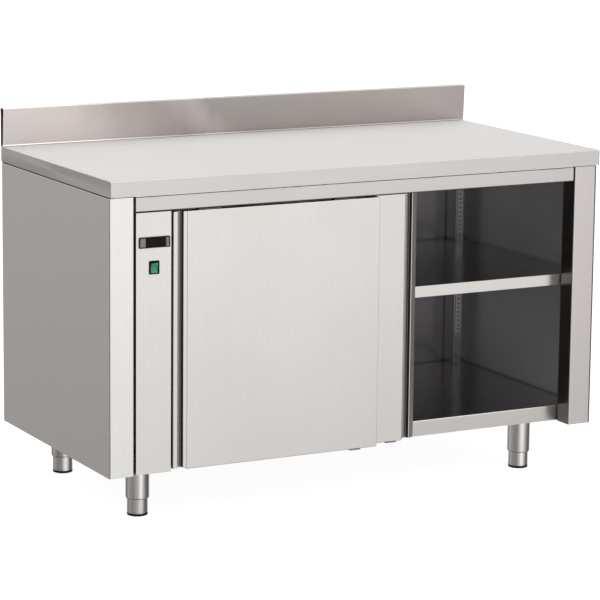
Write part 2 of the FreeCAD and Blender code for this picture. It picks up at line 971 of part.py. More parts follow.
def make_control_panel():
    """A shallow tray that fills the front beside the door, with two cut-outs."""
    tray = block(
        "panel_outer",
        ("rail_left", "body_front", "panel_bottom"),
        ("panel_right", "panel_back", "panel_top"),
    )
    hollow = block(
        "panel_hollow",
        ("rail_left + body_sheet", "body_front + body_sheet", "panel_bottom + body_sheet"),
        ("panel_right - body_sheet", "panel_back", "panel_top - body_sheet"),
    )
    module_window = block(
        "module_window",
        ("module_left - module_play", "body_front", "thermostat_level - module_height / 2 - module_play"),
        (
            "module_left + module_width + module_play",
            "body_front + body_sheet",
            "thermostat_level + module_height / 2 + module_play",
        ),
    )
    half_width = "(switch_body_width / 2 + switch_play)"
    half_height = "(switch_body_height / 2 + switch_play)"
    switch_window = block(
        "switch_window",
        (f"switch_middle - {half_width}", "body_front", f"switch_level - {half_height}"),
        (
            f"switch_middle + {half_width}",
            "body_front + body_sheet",
            f"switch_level + {half_height}",
        ),
    )
    panel = cut("control_panel", tray, hollow, module_window, switch_window)
    keep("control_panel", panel)
    brackets = []
    for side, start in (("left", "post_left"), ("right", "panel_right - panel_bracket_width")):
        brackets.append(block(
            f"{side}_panel_bracket",
            (start, "panel_back", "panel_bottom"),
            (f"{start} + panel_bracket_width", "panel_back + body_sheet", "panel_top"),
        ))
    keep("panel_brackets", group("panel_brackets", *brackets))


def key_span(number):
    """The lower and upper level of one key, counted from the middle one."""
    middle = f"thermostat_level + key_pitch * {number}"
    return f"{middle} - key_height / 2", f"{middle} + key_height / 2"


KEYS = (("lower", -1), ("middle", 0), ("upper", 1))


def make_thermostat():
    """A long thermostat: a surround, a module that carries the display, and three keys."""
    surround = block(
        "surround",
        ("thermostat_left", "thermostat_front", "thermostat_level - thermostat_height / 2"),
        (
            "thermostat_left + thermostat_width",
            "body_front",
            "thermostat_level + thermostat_height / 2",
        ),
    )
    display_left = "thermostat_left + display_offset"
    window = block(
        "display_window",
        (display_left, "thermostat_front", "thermostat_level - display_height / 2"),
        (
            f"{display_left} + display_width",
            "body_front",
            "thermostat_level + display_height / 2",
        ),
    )
    key_left = "thermostat_left + key_offset"
    key_holes = []
    for name, number in KEYS:
        low, high = key_span(number)
        key_holes.append(block(
            f"{name}_key_hole",
            (f"{key_left} - key_play", "thermostat_front", f"{low} - key_play"),
            (f"{key_left} + key_width + key_play", "body_front", f"{high} + key_play"),
        ))
        keep(f"thermostat_key_{name}", block(
            f"thermostat_key_{name}",
            (key_left, "thermostat_front - key_rise", low),
            (f"{key_left} + key_width", "body_front - key_gap", high),
        ))
    keep("thermostat_surround", cut("thermostat_surround", surround, window, *key_holes))
    case = block(
        "module_case",
        ("module_left", "body_front", "thermostat_level - module_height / 2"),
        (
            "module_left + module_width",
            "body_front + module_depth",
            "thermostat_level + module_height / 2",
        ),
    )
    display = block(
        "display",
        (display_left, "thermostat_front + display_recess", "thermostat_level - display_height / 2"),
        (
            f"{display_left} + display_width",
            "body_front",
            "thermostat_level + display_height / 2",
        ),
    )
    keep("thermostat_module", joined("thermostat_module", case, display))


def make_power_switch():
    """A lit rocker in a black housing, drawn with its lower end pressed in."""
    flange = block(
        "switch_flange_plate",
        (
            "switch_middle - switch_flange_width / 2",
            "body_front - switch_flange",
            "switch_level - switch_flange_height / 2",
        ),
        (
            "switch_middle + switch_flange_width / 2",
            "body_front",
            "switch_level + switch_flange_height / 2",
        ),
    )
    body = block(
        "switch_body",
        (
            "switch_middle - switch_body_width / 2",
            "body_front",
            "switch_level - switch_body_height / 2",
        ),
        (
            "switch_middle + switch_body_width / 2",
            "body_front + switch_body_depth",
            "switch_level + switch_body_height / 2",
        ),
    )
    half_width = "(rocker_width / 2 + rocker_side_play)"
    half_height = "(rocker_half_height + rocker_end_play)"
    well = block(
        "switch_well",
        (
            f"switch_middle - {half_width}",
            "body_front - switch_flange",
            f"switch_level - {half_height}",
        ),
        (
            f"switch_middle + {half_width}",
            "pivot_depth + rocker_back + rocker_back_play",
            f"switch_level + {half_height}",
        ),
    )
    keep("switch_housing", cut("switch_housing", joined("switch_solid", flange, body), well))
    middle = "rocker_half_height"
    depth = "(rocker_front + rocker_back)"
    section = [
        ("0", "0"),
        (depth, f"{middle} - rocker_back_half_height"),
        (depth, f"{middle} + rocker_back_half_height"),
        ("0", f"{middle} * 2"),
        ("rocker_front - rocker_waist", middle),
    ]
    rocker = prism(
        "rocker",
        "x",
        ("-rocker_width / 2", "-rocker_front", "-rocker_half_height"),
        "rocker_width",
        section,
    )
    tilted = document.addObject("Part::Compound", "power_rocker")
    tilted.Links = [rocker]
    tilted.Placement = FreeCAD.Placement(FreeCAD.Vector(), FreeCAD.Rotation(X_AXIS, QUARTER))
    bind(tilted, "Placement.Rotation.Angle", "rocker_tilt")
    place(tilted, ("switch_middle", "pivot_depth", "switch_level"))
    keep("power_rocker", tilted)


# Doors

def door_point(across, mirrored, width):
    """A place counted from the grip's edge, for a grip on the left or on the right."""
    if not mirrored:
        return across
    return width if across == "0" else f"{width} - ({across})"


def make_door_grip(name, left, face, width, mirrored):
    """A folded strip with a chamfered edge and a finger groove from top to bottom."""
    inner = "(door_depth - door_sheet)"
    nose = "grip_nose"
    far = "(grip_nose + groove_width)"
    sheet_out = "door_sheet"
    section = [
        ("0", inner),
        ("0", "grip_facet_depth"),
        ("grip_facet_width", "0"),
        (nose, "0"),
        (nose, "groove_depth"),
        (far, "groove_depth"),
        (far, "0"),
        ("grip_width", "0"),
        ("grip_width", sheet_out),
        (f"{far} + {sheet_out}", sheet_out),
        (f"{far} + {sheet_out}", f"groove_depth + {sheet_out}"),
        (f"{nose} - {sheet_out}", f"groove_depth + {sheet_out}"),
        (f"{nose} - {sheet_out}", sheet_out),
        (f"grip_facet_width + {sheet_out} / 2", sheet_out),
        (sheet_out, f"grip_facet_depth + {sheet_out} / 2"),
        (sheet_out, inner),
    ]
    placed = [(door_point(across, mirrored, width), depth) for across, depth in section]
    corner = (left, face, "door_bottom + grip_end_gap")
    height = "door_top - door_bottom - grip_end_gap"
    return keep(name, prism(name, "z", corner, height, placed))


def door_span(left, width, mirrored, near, far):
    """The low and high side of a stretch counted from the grip's edge."""
    if mirrored:
        return f"{left} + {width} - ({far})", f"{left} + {width} - ({near})"
    return f"{left} + ({near})", f"{left} + ({far})"


def make_door_shell(prefix, left, face, width, mirrored):
    """The outer pan beside the grip, the inner sheet over the whole door, and the filling."""
    start, end = door_span(left, width, mirrored, "grip_width", width)
    inner_face = f"{face} + door_depth - door_sheet"
    pan = block(f"{prefix}_pan", (start, face, "door_bottom"), (end, inner_face, "door_top"))
    low = (f"{start} + door_sheet", f"{face} + door_sheet", "door_bottom + door_sheet")
    high = (f"{end} - door_sheet", inner_face, "door_top - door_sheet")
    hollow = block(f"{prefix}_hollow", low, high)
    middle = f"{face} + door_depth / 2"
    half = "door_channel_width / 2"
    channel_low = (start, f"{middle} - {half}", "door_bottom")
    channel_high = (end, f"{middle} + {half}", "door_bottom + door_channel_depth")
    channel = block(f"{prefix}_channel", channel_low, channel_high)
    keep(f"{prefix}_door_skin", cut(f"{prefix}_door_skin", pan, hollow, channel))
    filling = block(f"{prefix}_filling", low, high)
    filling_channel = block(f"{prefix}_filling_channel", channel_low, channel_high)
    keep(f"{prefix}_door_core", cut(f"{prefix}_door_core", filling, filling_channel))
    keep(f"{prefix}_door_inner_sheet", block(
        f"{prefix}_door_inner_sheet",
        (left, inner_face, "door_bottom"),
        (f"{left} + {width}", f"{face} + door_depth", "door_top"),
    ))


def hanger_places(left, width):
    """The two hangers of a door, as a side and a place along the front."""
    return (
        ("left", f"{left} + hanger_inset"),
        ("right", f"{left} + {width} - hanger_inset"),
    )


def make_hangers(prefix, left, width, lane):
    """Two hangers on a door's top edge: a foot, an upright plate and an axle."""
    hangers = []
    for side, middle in hanger_places(left, width):
        name = f"{prefix}_{side}_hanger"
        foot = block(
            f"{name}_foot",
            (f"{middle} - hanger_foot_length / 2", f"{lane} - hanger_foot_width / 2", "door_top"),
            (
                f"{middle} + hanger_foot_length / 2",
                f"{lane} + hanger_foot_width / 2",
                "door_top + hanger_foot",
            ),
        )
        plate = block(
            f"{name}_plate",
            (f"{middle} - hanger_width / 2", f"{lane} - hanger_plate / 2", "door_top + hanger_foot"),
            (
                f"{middle} + hanger_width / 2",
                f"{lane} + hanger_plate / 2",
                "axle_level + hanger_head",
            ),
        )
        axle = rod(
            f"{name}_axle",
            (middle, f"{lane} - axle_length / 2", "axle_level"),
            "y",
            "axle_radius",
            "axle_length",
        )
        hangers.append(joined(name, foot, plate, axle))
    keep(f"{prefix}_door_hangers", group(f"{prefix}_door_hangers", *hangers))


def make_rollers(prefix, left, width, lane):
    """A pair of wheels on each axle, one on each side of the hanger."""
    near = "(hanger_plate / 2 + roller_side_play)"
    for side, middle in hanger_places(left, width):
        name = f"{prefix}_{side}_roller"
        wheels = []
        for place_name, start in (("outer", f"{lane} - {near} - roller_width"), ("inner", f"{lane} + {near}")):
            at = (middle, start, "axle_level")
            wheel = rod(f"{name}_{place_name}_rim", at, "y", "roller_radius", "roller_width")
            bore = rod(f"{name}_{place_name}_bore", at, "y", "axle_radius + running_play", "roller_width")
            wheels.append(cut(f"{name}_{place_name}", wheel, bore))
        keep(name, group(name, *wheels))


DOORS = (
    ("front", "front_door_left", "body_front", "front_door_width", False, "front_lane"),
    ("rear", "rear_door_left", "rear_door_face", "rear_door_width", True, "rear_lane"),
)


def make_doors():
    for prefix, left, face, width, mirrored, lane in DOORS:
        make_door_grip(f"{prefix}_door_grip", left, face, width, mirrored)
        make_door_shell(prefix, left, face, width, mirrored)
        make_hangers(prefix, left, width, lane)
        make_rollers(prefix, left, width, lane)


# Door tracks and guides

def make_tracks():
    """Two tracks under the rail's top, each with two ledges and a slot between them."""
    ledge = "(track_width - track_slot) / 2"
    section = [
        ("0", "0"),
        (ledge, "0"),
        (ledge, "track_wall"),
        ("track_wall", "track_wall"),
        ("track_wall", "track_height - track_wall"),
        ("track_width - track_wall", "track_height - track_wall"),
        ("track_width - track_wall", "track_wall"),
        (f"{ledge} + track_slot", "track_wall"),
        (f"{ledge} + track_slot", "0"),
        ("track_width", "0"),
        ("track_width", "track_height"),
        ("0", "track_height"),
    ]
    tracks = []
    stops = []
    for prefix, left, _, width, _, lane in DOORS:
        corner = ("rail_left", f"{lane} - track_width / 2", "track_bottom")
        tracks.append(prism(f"{prefix}_track", "x", corner, "rail_right - rail_left", section))
        reach = "(roller_radius + stop_play)"
        places = (
            ("left", f"{left} + hanger_inset - {reach} - stop_length"),
            ("right", f"{left} + {width} - hanger_inset + door_travel + {reach}"),
        )
        for side, start in places:
            stops.append(block(
                f"{prefix}_{side}_stop",
                (start, f"{lane} - stop_width / 2", "track_ledge"),
                (f"{start} + stop_length", f"{lane} + stop_width / 2", "track_ledge + stop_height"),
            ))
    keep("door_tracks", group("door_tracks", *tracks))
    keep("track_stops", group("track_stops", *stops))


def make_guides():
    """Two brackets under the base, each with an upright pin in one door's channel."""
    guides = []
    for name, middle, lane in guide_places():
        plate = block(
            f"{name}_guide_plate",
            (f"{middle} - guide_width / 2", f"{lane} - guide_nose", "underside - guide_plate"),
            (f"{middle} + guide_width / 2", "chamber_front + guide_tail", "underside"),
        )
        holes = [
            rod(
                f"{screw}_bracket_hole",
                (x, y, "underside - guide_plate"),
                "z",
                "screw_radius + hole_play",
                "guide_plate",
            )
            for screw, x, y in screw_places() if screw.startswith(name)
        ]
        guides.append(cut(f"{name}_guide_bracket", plate, *holes))
        start = (middle, lane, "underside")
        guides.append(rod(f"{name}_guide_pin", start, "z", "guide_pin_radius", "guide_pin_height"))
    keep("door_guides", group("door_guides", *guides))


def make_guide_screws():
    screws = []
    for name, x, y in screw_places():
        head_level = "underside - guide_plate - screw_head"
        head = rod(f"{name}_screw_head", (x, y, head_level), "z", "screw_head_radius", "screw_head")
        shank = rod(
            f"{name}_screw_shank",
            (x, y, "underside - guide_plate"),
            "z",
            "screw_radius",
            "guide_plate + body_sheet",
        )
        screws.append(joined(f"{name}_screw", head, shank))
    keep("guide_screws", group("guide_screws", *screws))


# Legs and feet

def leg_half_section():
    """A closed tube with a narrowed mouth, a nut plate inside and a stud on top."""
    mouth = "(foot_radius + foot_play)"
    lip = "(leg_radius - leg_chamfer)"
    bore = "(leg_radius - leg_wall)"
    tube_top = "(underside - leg_plate)"
    nut_bore = "(spindle_radius + running_play)"
    return [
        (mouth, "leg_mouth"),
        (lip, "leg_mouth"),
        ("leg_radius", "leg_mouth + leg_chamfer"),
        ("leg_radius", "underside"),
        ("stud_radius", "underside"),
        ("stud_radius", "underside + stud_length"),
        ("0", "underside + stud_length"),
        ("0", tube_top),
        (bore, tube_top),
        (bore, "leg_nut_level + leg_nut_thickness"),
        (nut_bore, "leg_nut_level + leg_nut_thickness"),
        (nut_bore, "leg_nut_level"),
        (bore, "leg_nut_level"),
        (bore, "leg_mouth + leg_chamfer + leg_wall"),
        (mouth, "leg_mouth + leg_wall"),
    ]


def foot_half_section():
    """A cup that slides up into the leg, with a threaded spindle standing in it."""
    inner = "(foot_radius - foot_wall)"
    sole = "(glide_height + foot_sole)"
    return [
        ("0", "glide_height"),
        ("foot_radius", "glide_height"),
        ("foot_radius", "foot_top"),
        (inner, "foot_top"),
        (inner, sole),
        ("spindle_radius", sole),
        ("spindle_radius", "spindle_top"),
        ("0", "spindle_top"),
    ]


def make_legs():
    legs = []
    nuts = []
    for name, x, y in leg_places():
        legs.append(turned(f"{name}_leg_tube", (x, y, "0"), leg_half_section()))
        foot = turned(f"{name}_foot_cup", (x, y, "0"), foot_half_section())
        glide = rod(f"{name}_glide", (x, y, "0"), "z", "glide_radius", "glide_height")
        keep(f"{name}_foot", group(f"{name}_foot", foot, glide))
        nut_level = "base_plate_top + stiffener_wall"
        prism_nut = document.addObject("Part::Prism", f"{name}_nut_blank")
        prism_nut.Polygon = HEX_SIDES
        bind(prism_nut, "Circumradius", "stud_nut_radius")
        bind(prism_nut, "Height", "stud_nut_thickness")
        place(prism_nut, (x, y, nut_level))
        bore = rod(
            f"{name}_nut_bore",
            (x, y, nut_level),
            "z",
            "stud_radius + running_play",
            "stud_nut_thickness",
        )
        nuts.append(cut(f"{name}_nut", prism_nut, bore))
    keep("leg_tubes", group("leg_tubes", *legs))
    keep("leg_nuts", group("leg_nuts", *nuts))


# Heating and wiring in the control compartment

def make_fan():
    """A fan box on the partition, its motor on the outside and the impeller within."""
    half = "fan_housing_side / 2"
    box = block(
        "fan_box",
        ("fan_left", f"fan_depth_place - {half}", f"fan_level - {half}"),
        ("partition_left", f"fan_depth_place + {half}", f"fan_level + {half}"),
    )
    chamber = rod(
        "fan_chamber",
        ("fan_left + fan_housing_wall", "fan_depth_place", "fan_level"),
        "x",
        "fan_chamber_radius",
        "fan_housing_width - fan_housing_wall",
    )
    shaft_hole = rod(
        "fan_shaft_hole",
        ("fan_left", "fan_depth_place", "fan_level"),
        "x",
        "impeller_hub_radius",
        "fan_housing_wall",
    )
    keep("fan_housing", cut("fan_housing", box, chamber, shaft_hole))
    case = rod(
        "motor_case",
        ("fan_left - motor_length", "fan_depth_place", "fan_level"),
        "x",
        "motor_radius",
        "motor_length",
    )
    bore = rod(
        "motor_bore",
        ("fan_left - shaft_length", "fan_depth_place", "fan_level"),
        "x",
        "shaft_radius + running_play",
        "shaft_length",
    )
    keep("fan_motor", cut("fan_motor", case, bore))
    make_impeller()


def make_impeller():
    """A disc with a ring of blades, a hub and the shaft that runs back into the motor."""
    body = document.addObject("PartDesign::Body", "impeller_wheel")
    disc_sketch = new_sketch(body, "z", "impeller_disc_outline")
    disc_sketch.addGeometry(Part.Circle(FreeCAD.Vector(), Z_AXIS, GUESS_RADIUS), False)
    disc_sketch.addConstraint(Sketcher.Constraint("Coincident", 0, 3, -1, 1))
    index = disc_sketch.addConstraint(Sketcher.Constraint("Radius", 0, GUESS_RADIUS))
    disc_sketch.renameConstraint(index, "disc_radius")
    bind(disc_sketch, "Constraints.disc_radius", "impeller_radius")
    disc = body.newObject("PartDesign::Pad", "impeller_disc_pad")
    disc.Profile = disc_sketch
    bind(disc, "Length", "impeller_disc")
    document.recompute()
    blade_sketch = new_sketch(body, "z", "blade_outline")
    outline(blade_sketch, [
        ("impeller_radius - blade_length", "0"),
        ("impeller_radius", "0"),
        ("impeller_radius", "blade_thickness"),
        ("impeller_radius - blade_length", "blade_thickness"),
    ])
    blade = body.newObject("PartDesign::Pad", "blade_pad")
    blade.Profile = blade_sketch
    bind(blade, "Length", "impeller_width")
    document.recompute()
    ring = body.newObject("PartDesign::PolarPattern", "blade_ring")
    ring.Originals = [blade]
    ring.Axis = (blade_sketch, ["N_Axis"])
    ring.Angle = FULL_TURN
    ring.Occurrences = BLADE_COUNT
    body.Tip = ring
    body.Placement = FreeCAD.Placement(FreeCAD.Vector(), FACING["x"])
    start = "fan_left + fan_housing_wall + impeller_play"
    place(body, (start, "fan_depth_place", "fan_level"))
    shaft_end = "fan_left - shaft_length + impeller_play"
    shaft = rod(
        "impeller_shaft",
        (shaft_end, "fan_depth_place", "fan_level"),
        "x",
        "shaft_radius",
        f"{start} - ({shaft_end})",
    )
    keep("fan_impeller", joined("fan_impeller", body, shaft))


def make_heating_element():
    """A tubular element in front of the outlet slots: two runs and a bend on a flange."""
    low_level = "element_level - element_pitch / 2"
    start = "fan_depth_place - element_span / 2"
    stand = "partition_left - element_stand"
    pieces = []
    for name, level in (("lower", low_level), ("upper", "element_level + element_pitch / 2")):
        at = (stand, start, level)
        pieces.append(rod(f"element_{name}_run", at, "y", "element_radius", "element_span"))
    bend = document.addObject("Part::Torus", "element_bend")
    bind(bend, "Radius1", "element_pitch / 2")
    bind(bend, "Radius2", "element_radius")
    bend.Angle3 = HALF_TURN
    bend.Placement = FreeCAD.Placement(FreeCAD.Vector(), FACING["x"])
    place(bend, (stand, f"{start} + element_span", "element_level"))
    pieces.append(bend)
    pieces.append(block(
        "element_flange_plate",
        (
            f"{stand} - element_radius",
            f"{start} - element_flange",
            "element_level - element_flange_height / 2",
        ),
        ("partition_left", start, "element_level + element_flange_height / 2"),
    ))
    keep("heating_element", joined("heating_element", *pieces))


def make_cutout_and_terminals():
    """The safety cut-out and the terminal block, both fixed to the partition."""
    cutout = rod(
        "safety_cutout",
        ("partition_left - cutout_length", "cutout_depth_place", "cutout_level"),
        "x",
        "cutout_radius",
        "cutout_length",
    )
    keep("safety_cutout", cutout)
    strip = block(
        "terminal_strip",
        ("partition_left - terminal_thickness", "terminal_depth_place", "terminal_level"),
        (
            "partition_left",
            "terminal_depth_place + terminal_length",
            "terminal_level + terminal_height",
        ),
    )
    slots = []
    for number in range(TERMINAL_COUNT):
        start = f"terminal_depth_place + terminal_pitch * ({number} + 1 / 2)"
        slots.append(block(
            f"terminal_slot_{number}",
            ("partition_left - terminal_thickness", start, "terminal_level + terminal_height / 2"),
            (
                "partition_left - terminal_thickness / 2",
                f"{start} + terminal_slot",
                "terminal_level + terminal_height",
            ),
        ))
    keep("terminal_block", cut("terminal_block", strip, *slots))


def make_cable_gland():
    """The inlet for the mains cable, through the base under the control compartment."""
    head_bottom = "underside - gland_head_length"
    half_section = [
        ("gland_bore", head_bottom),
        ("gland_nose_radius", head_bottom),
        ("gland_head_radius", f"{head_bottom} + gland_nose_length"),
        ("gland_head_radius", "underside"),
        ("gland_thread_radius", "underside"),
        ("gland_thread_radius", "underside + gland_thread_length"),
        ("gland_bore", "underside + gland_thread_length"),
    ]
    corner = ("gland_place", "gland_depth_place", "0")
    keep("cable_gland", turned("cable_gland", corner, half_section))


# Checks and files

def check_model():
    """Stop if any object failed or any sub-part is empty or broken."""
    for thing in document.Objects:
        troubles = {"Invalid", "Error"} & set(thing.State)
        if troubles:
            raise RuntimeError(f"{thing.Name}: {sorted(troubles)}")
    for node in nodes:
        if node.Shape.isNull() or not node.Shape.isValid() or not node.Shape.Solids:
            raise RuntimeError(f"{node.Label} has no sound solid")


def write_parts():
    os.makedirs("parts", exist_ok=True)
    for node in nodes:
        node.Shape.exportStep(f"parts/{node.Label}.step")


fill_sheet()
make_worktop()
make_upstand()
make_side_panels()
make_front_posts()
make_back_panel()
make_top_rail()
make_base_plate()
make_base_stiffeners()
make_chamber_floor()
make_chamber_liner()
make_partition()
make_rear_columns()
make_slotted_strips()
make_shelf_clips()
make_shelf()
make_control_panel()
make_thermostat()
make_power_switch()
make_doors()
make_tracks()
make_guides()
make_guide_screws()
make_legs()
make_fan()
make_heating_element()
make_cutout_and_terminals()
make_cable_gland()
document.recompute()
check_model()
write_parts()
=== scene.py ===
import json
import math

import bmesh
import bpy
from mathutils import Matrix, Vector


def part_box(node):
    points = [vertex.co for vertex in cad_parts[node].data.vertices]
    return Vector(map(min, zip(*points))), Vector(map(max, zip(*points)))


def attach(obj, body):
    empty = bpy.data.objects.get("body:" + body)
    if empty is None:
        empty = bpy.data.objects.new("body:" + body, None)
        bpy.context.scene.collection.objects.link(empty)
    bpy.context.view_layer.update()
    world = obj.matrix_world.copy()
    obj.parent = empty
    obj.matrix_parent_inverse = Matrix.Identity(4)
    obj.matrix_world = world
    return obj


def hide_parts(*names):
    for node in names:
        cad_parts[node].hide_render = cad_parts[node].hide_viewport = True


# A plate warmer cabinet in brushed stainless steel. The sheet metal that shows is built
# again with its folds, and every part gets a finish worked out from its own place in space.

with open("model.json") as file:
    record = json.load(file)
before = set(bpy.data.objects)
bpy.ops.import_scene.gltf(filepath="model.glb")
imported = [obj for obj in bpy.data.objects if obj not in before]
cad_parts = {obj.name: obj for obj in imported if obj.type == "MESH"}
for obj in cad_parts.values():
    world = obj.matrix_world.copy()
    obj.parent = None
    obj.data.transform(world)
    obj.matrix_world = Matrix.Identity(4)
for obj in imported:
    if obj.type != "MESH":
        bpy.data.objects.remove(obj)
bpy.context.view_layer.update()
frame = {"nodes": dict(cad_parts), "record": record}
nodes = frame["nodes"]

# Sizes in metres

SHEET = 0.0012
WORKTOP_SHEET = 0.0015
HAIRLINE = 0.0003
SIDE_REVEAL = 0.003
FRONT_REVEAL = 0.0032

BEND_STEPS = 5
SOFT_EDGE = 0.0003
SOFT_EDGE_STEPS = 2
WELD_DISTANCE = 0.000001
SHARP_ANGLE = math.radians(35)
FULL_TURN = math.pi * 2


# Outlines

def arc_through_corner(before, corner, after, radius, steps):
    """Points that round one corner of an outline."""
    to_before = (before - corner).normalized()
    to_after = (after - corner).normalized()
    half = to_before.angle(to_after) / 2
    reach = radius / math.tan(half)
    middle = corner + (to_before + to_after).normalized() * radius / math.sin(half)
    start = corner + to_before * reach - middle
    end = corner + to_after * reach - middle
    turn = start.angle_signed(end)
    points = []
    for step in range(steps + 1):
        angle = -turn * step / steps
        cos, sin = math.cos(angle), math.sin(angle)
        turned = Vector((start.x * cos - start.y * sin, start.x * sin + start.y * cos))
        points.append(middle + turned)
    return points


def rounded(corners, radius, closed, steps=BEND_STEPS):
    """An outline with rounded corners. The ends of an open one stay as they are."""
    points = []
    count = len(corners)
    for number, corner in enumerate(corners):
        if radius <= 0 or (not closed and number in (0, count - 1)):
            points.append(corner)
            continue
        before, after = corners[number - 1], corners[(number + 1) % count]
        room = min((before - corner).length, (after - corner).length) / 2
        half = (before - corner).angle(after - corner) / 2
        fitting = min(radius, room * math.tan(half))
        points += arc_through_corner(before, corner, after, fitting, steps)
    return points


def normal_of(start, end):
    """The unit vector to the left of a stretch."""
    along = (end - start).normalized()
    return Vector((-along.y, along.x))


def moved_aside(corners, distance):
    """An open line moved to its left by a distance, its corners kept parallel."""
    moved = []
    last = len(corners) - 1
    for number, corner in enumerate(corners):
        first = normal_of(corners[max(number - 1, 0)], corners[max(number, 1)])
        second = normal_of(corners[min(number, last - 1)], corners[min(number + 1, last)])
        moved.append(corner + (first + second) * distance / (1 + first.dot(second)))
    return moved


def folded(path, sheet, bend):
    """The closed outline of a sheet folded along a path. The sheet lies to the path's left."""
    corners = [Vector(point) for point in path]
    outer = rounded(corners, bend, closed=False)
    inner = rounded(moved_aside(corners, sheet), bend, closed=False)
    return outer + inner[::-1]


def box_outline(low, high):
    return [Vector(low), Vector((high[0], low[1])), Vector(high), Vector((low[0], high[1]))]


# Meshes

def finish_mesh(name, mesh_tool, material, body, replaced=(), soft_edge=SOFT_EDGE):
    """Turn a bmesh into a piece with smooth folds, softened edges and a place on its body."""
    bmesh.ops.recalc_face_normals(mesh_tool, faces=mesh_tool.faces)
    for face in mesh_tool.faces:
        face.smooth = True
    for edge in mesh_tool.edges:
        edge.smooth = edge.is_manifold and edge.calc_face_angle(0) < SHARP_ANGLE
    mesh = bpy.data.meshes.new(name)
    mesh_tool.to_mesh(mesh)
    mesh_tool.free()
    mesh.materials.append(material)
    piece = bpy.data.objects.new(name, mesh)
    bpy.context.scene.collection.objects.link(piece)
    if soft_edge:
        soften(piece, soft_edge)
        flatten(piece)
    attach(piece, body)
    if replaced:
        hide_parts(*replaced)
    return piece


def soften(piece, width):
    """A small bevel on the sharp edges, with normals that follow it."""
    bevel = piece.modifiers.new("soft_edge", "BEVEL")
    bevel.limit_method = "ANGLE"
    bevel.angle_limit = SHARP_ANGLE
    bevel.width = width
    bevel.segments = SOFT_EDGE_STEPS
    bevel.use_clamp_overlap = True
    bevel.harden_normals = True


def flatten(piece):
    """Keep broad faces evenly lit right up to their folds."""
    weighted = piece.modifiers.new("flat_faces", "WEIGHTED_NORMAL")
    weighted.keep_sharp = True


PLACED = {
    "x": lambda across, upward, along: (along, across, upward),
    "y": lambda across, upward, along: (across, along, upward),
    "z": lambda across, upward, along: (across, upward, along),
}


def add_prism(mesh_tool, outline, direction, start, end):
    """Add a closed outline run along x, y or z."""
    place = PLACED[direction]
    rings = [
        [mesh_tool.verts.new(place(point.x, point.y, along)) for point in outline]
        for along in (start, end)
    ]
    count = len(outline)
    for number in range(count):
        after = (number + 1) % count
        corners = (rings[0][number], rings[0][after], rings[1][after], rings[1][number])
        mesh_tool.faces.new(corners)
    for ring in rings:
        mesh_tool.faces.new(ring)


def add_ring_prism(mesh_tool, outer, inner, direction, start, end):
    """Add a plate with one window, run along x, y or z. Both outlines have as many points."""
    place = PLACED[direction]
    loops = [
        [mesh_tool.verts.new(place(point.x, point.y, along)) for point in outline]
        for outline, along in ((outer, start), (inner, start), (inner, end), (outer, end))
    ]
    count = len(outer)
    for ring, next_ring in zip(loops, loops[1:] + loops[:1]):
        for number in range(count):
            after = (number + 1) % count
            mesh_tool.faces.new((ring[number], ring[after], next_ring[after], next_ring[number]))


def add_turned(mesh_tool, centre, profile, steps):
    """Add a profile of radius and height pairs turned about an upright axis."""
    rings = []
    for radius, level in profile:
        if radius == 0:
            rings.append([mesh_tool.verts.new((centre[0], centre[1], level))])
            continue
        ring = []
        for step in range(steps):
            angle = FULL_TURN * step / steps
            x = centre[0] + radius * math.cos(angle)
            y = centre[1] + radius * math.sin(angle)
            ring.append(mesh_tool.verts.new((x, y, level)))
        rings.append(ring)
    for lower, upper in zip(rings, rings[1:]):
        for step in range(steps):
            after = (step + 1) % steps
            corners = [lower[step % len(lower)], lower[after % len(lower)]]
            corners += [upper[after % len(upper)], upper[step % len(upper)]]
            corners = list(dict.fromkeys(corners))
            if len(corners) > 2:
                mesh_tool.faces.new(corners)


def folded_piece(name, path, direction, span, bend, material, body, replaced, sheet=SHEET):
    mesh_tool = bmesh.new()
    add_prism(mesh_tool, folded(path, sheet, bend), direction, *span)
    return finish_mesh(name, mesh_tool, material, body, replaced)


def pan_piece(name, low, high, open_side, bend, material, body, replaced, sheet=SHEET):
    """A box of sheet metal with one open side and rounded folds."""
    mesh_tool = bmesh.new()
    bmesh.ops.create_cube(mesh_tool, size=1)
    middle, size = (low + high) / 2, high - low
    for corner in mesh_tool.verts:
        corner.co = middle + Vector(a * b for a, b in zip(corner.co, size))
    axis, sign = open_side
    opened = max(mesh_tool.faces, key=lambda face: face.calc_center_median()[axis] * sign)
    bmesh.ops.delete(mesh_tool, geom=[opened], context="FACES_ONLY")
    folds = [edge for edge in mesh_tool.edges if not edge.is_boundary]
    bmesh.ops.bevel(
        mesh_tool, geom=folds, offset=bend, segments=BEND_STEPS, profile=0.5, affect="EDGES",
    )
    piece = finish_mesh(name, mesh_tool, material, body, replaced, soft_edge=0)
    wall = piece.modifiers.new("sheet", "SOLIDIFY")
    wall.thickness = sheet
    wall.offset = -1
    flatten(piece)
    return piece


# Materials

NOISE_ROUGHNESS = 0.6
NOISE_SPAN = (0.3, 0.7)
UNIT_SPAN = (0, 1)
WORN_AND_HIGHLIGHT_SPAN = (0.85, 0.999)
FACING_SPAN = (0.4, 0.8)
OPEN_SKY_SPAN = (0.25, 0.85)
EDGE_SAMPLES = 4
SKY_SAMPLES = 6
EVEN = (1, 1, 1)
GRAIN_SHARES = {"x": (0.02, 1, 1), "y": (1, 0.02, 1), "z": (1, 1, 0.02)}
SPREAD_SHARE = 0.6
GRAIN_DEPTH = 0.0002
# Paler tones for edges and folds: part wear, part painted highlight.
WORN_AND_HIGHLIGHT_TONE = (0.86, 0.85, 0.83)
POLISHED_TONE = (0.9, 0.89, 0.88)
# Near black, for painted shade in gaps and inner corners.
CREVICE_SHADE_TONE = (0.03, 0.028, 0.026)
WARM_SHARES = (1.01, 0.985, 0.97)


def new_material(name):
    """A node material with its main shader, and what the recipes need to add nodes to it."""
    material = bpy.data.materials.new(name)
    material.use_nodes = True
    tree = material.node_tree
    return material, tree, tree.nodes["Principled BSDF"]


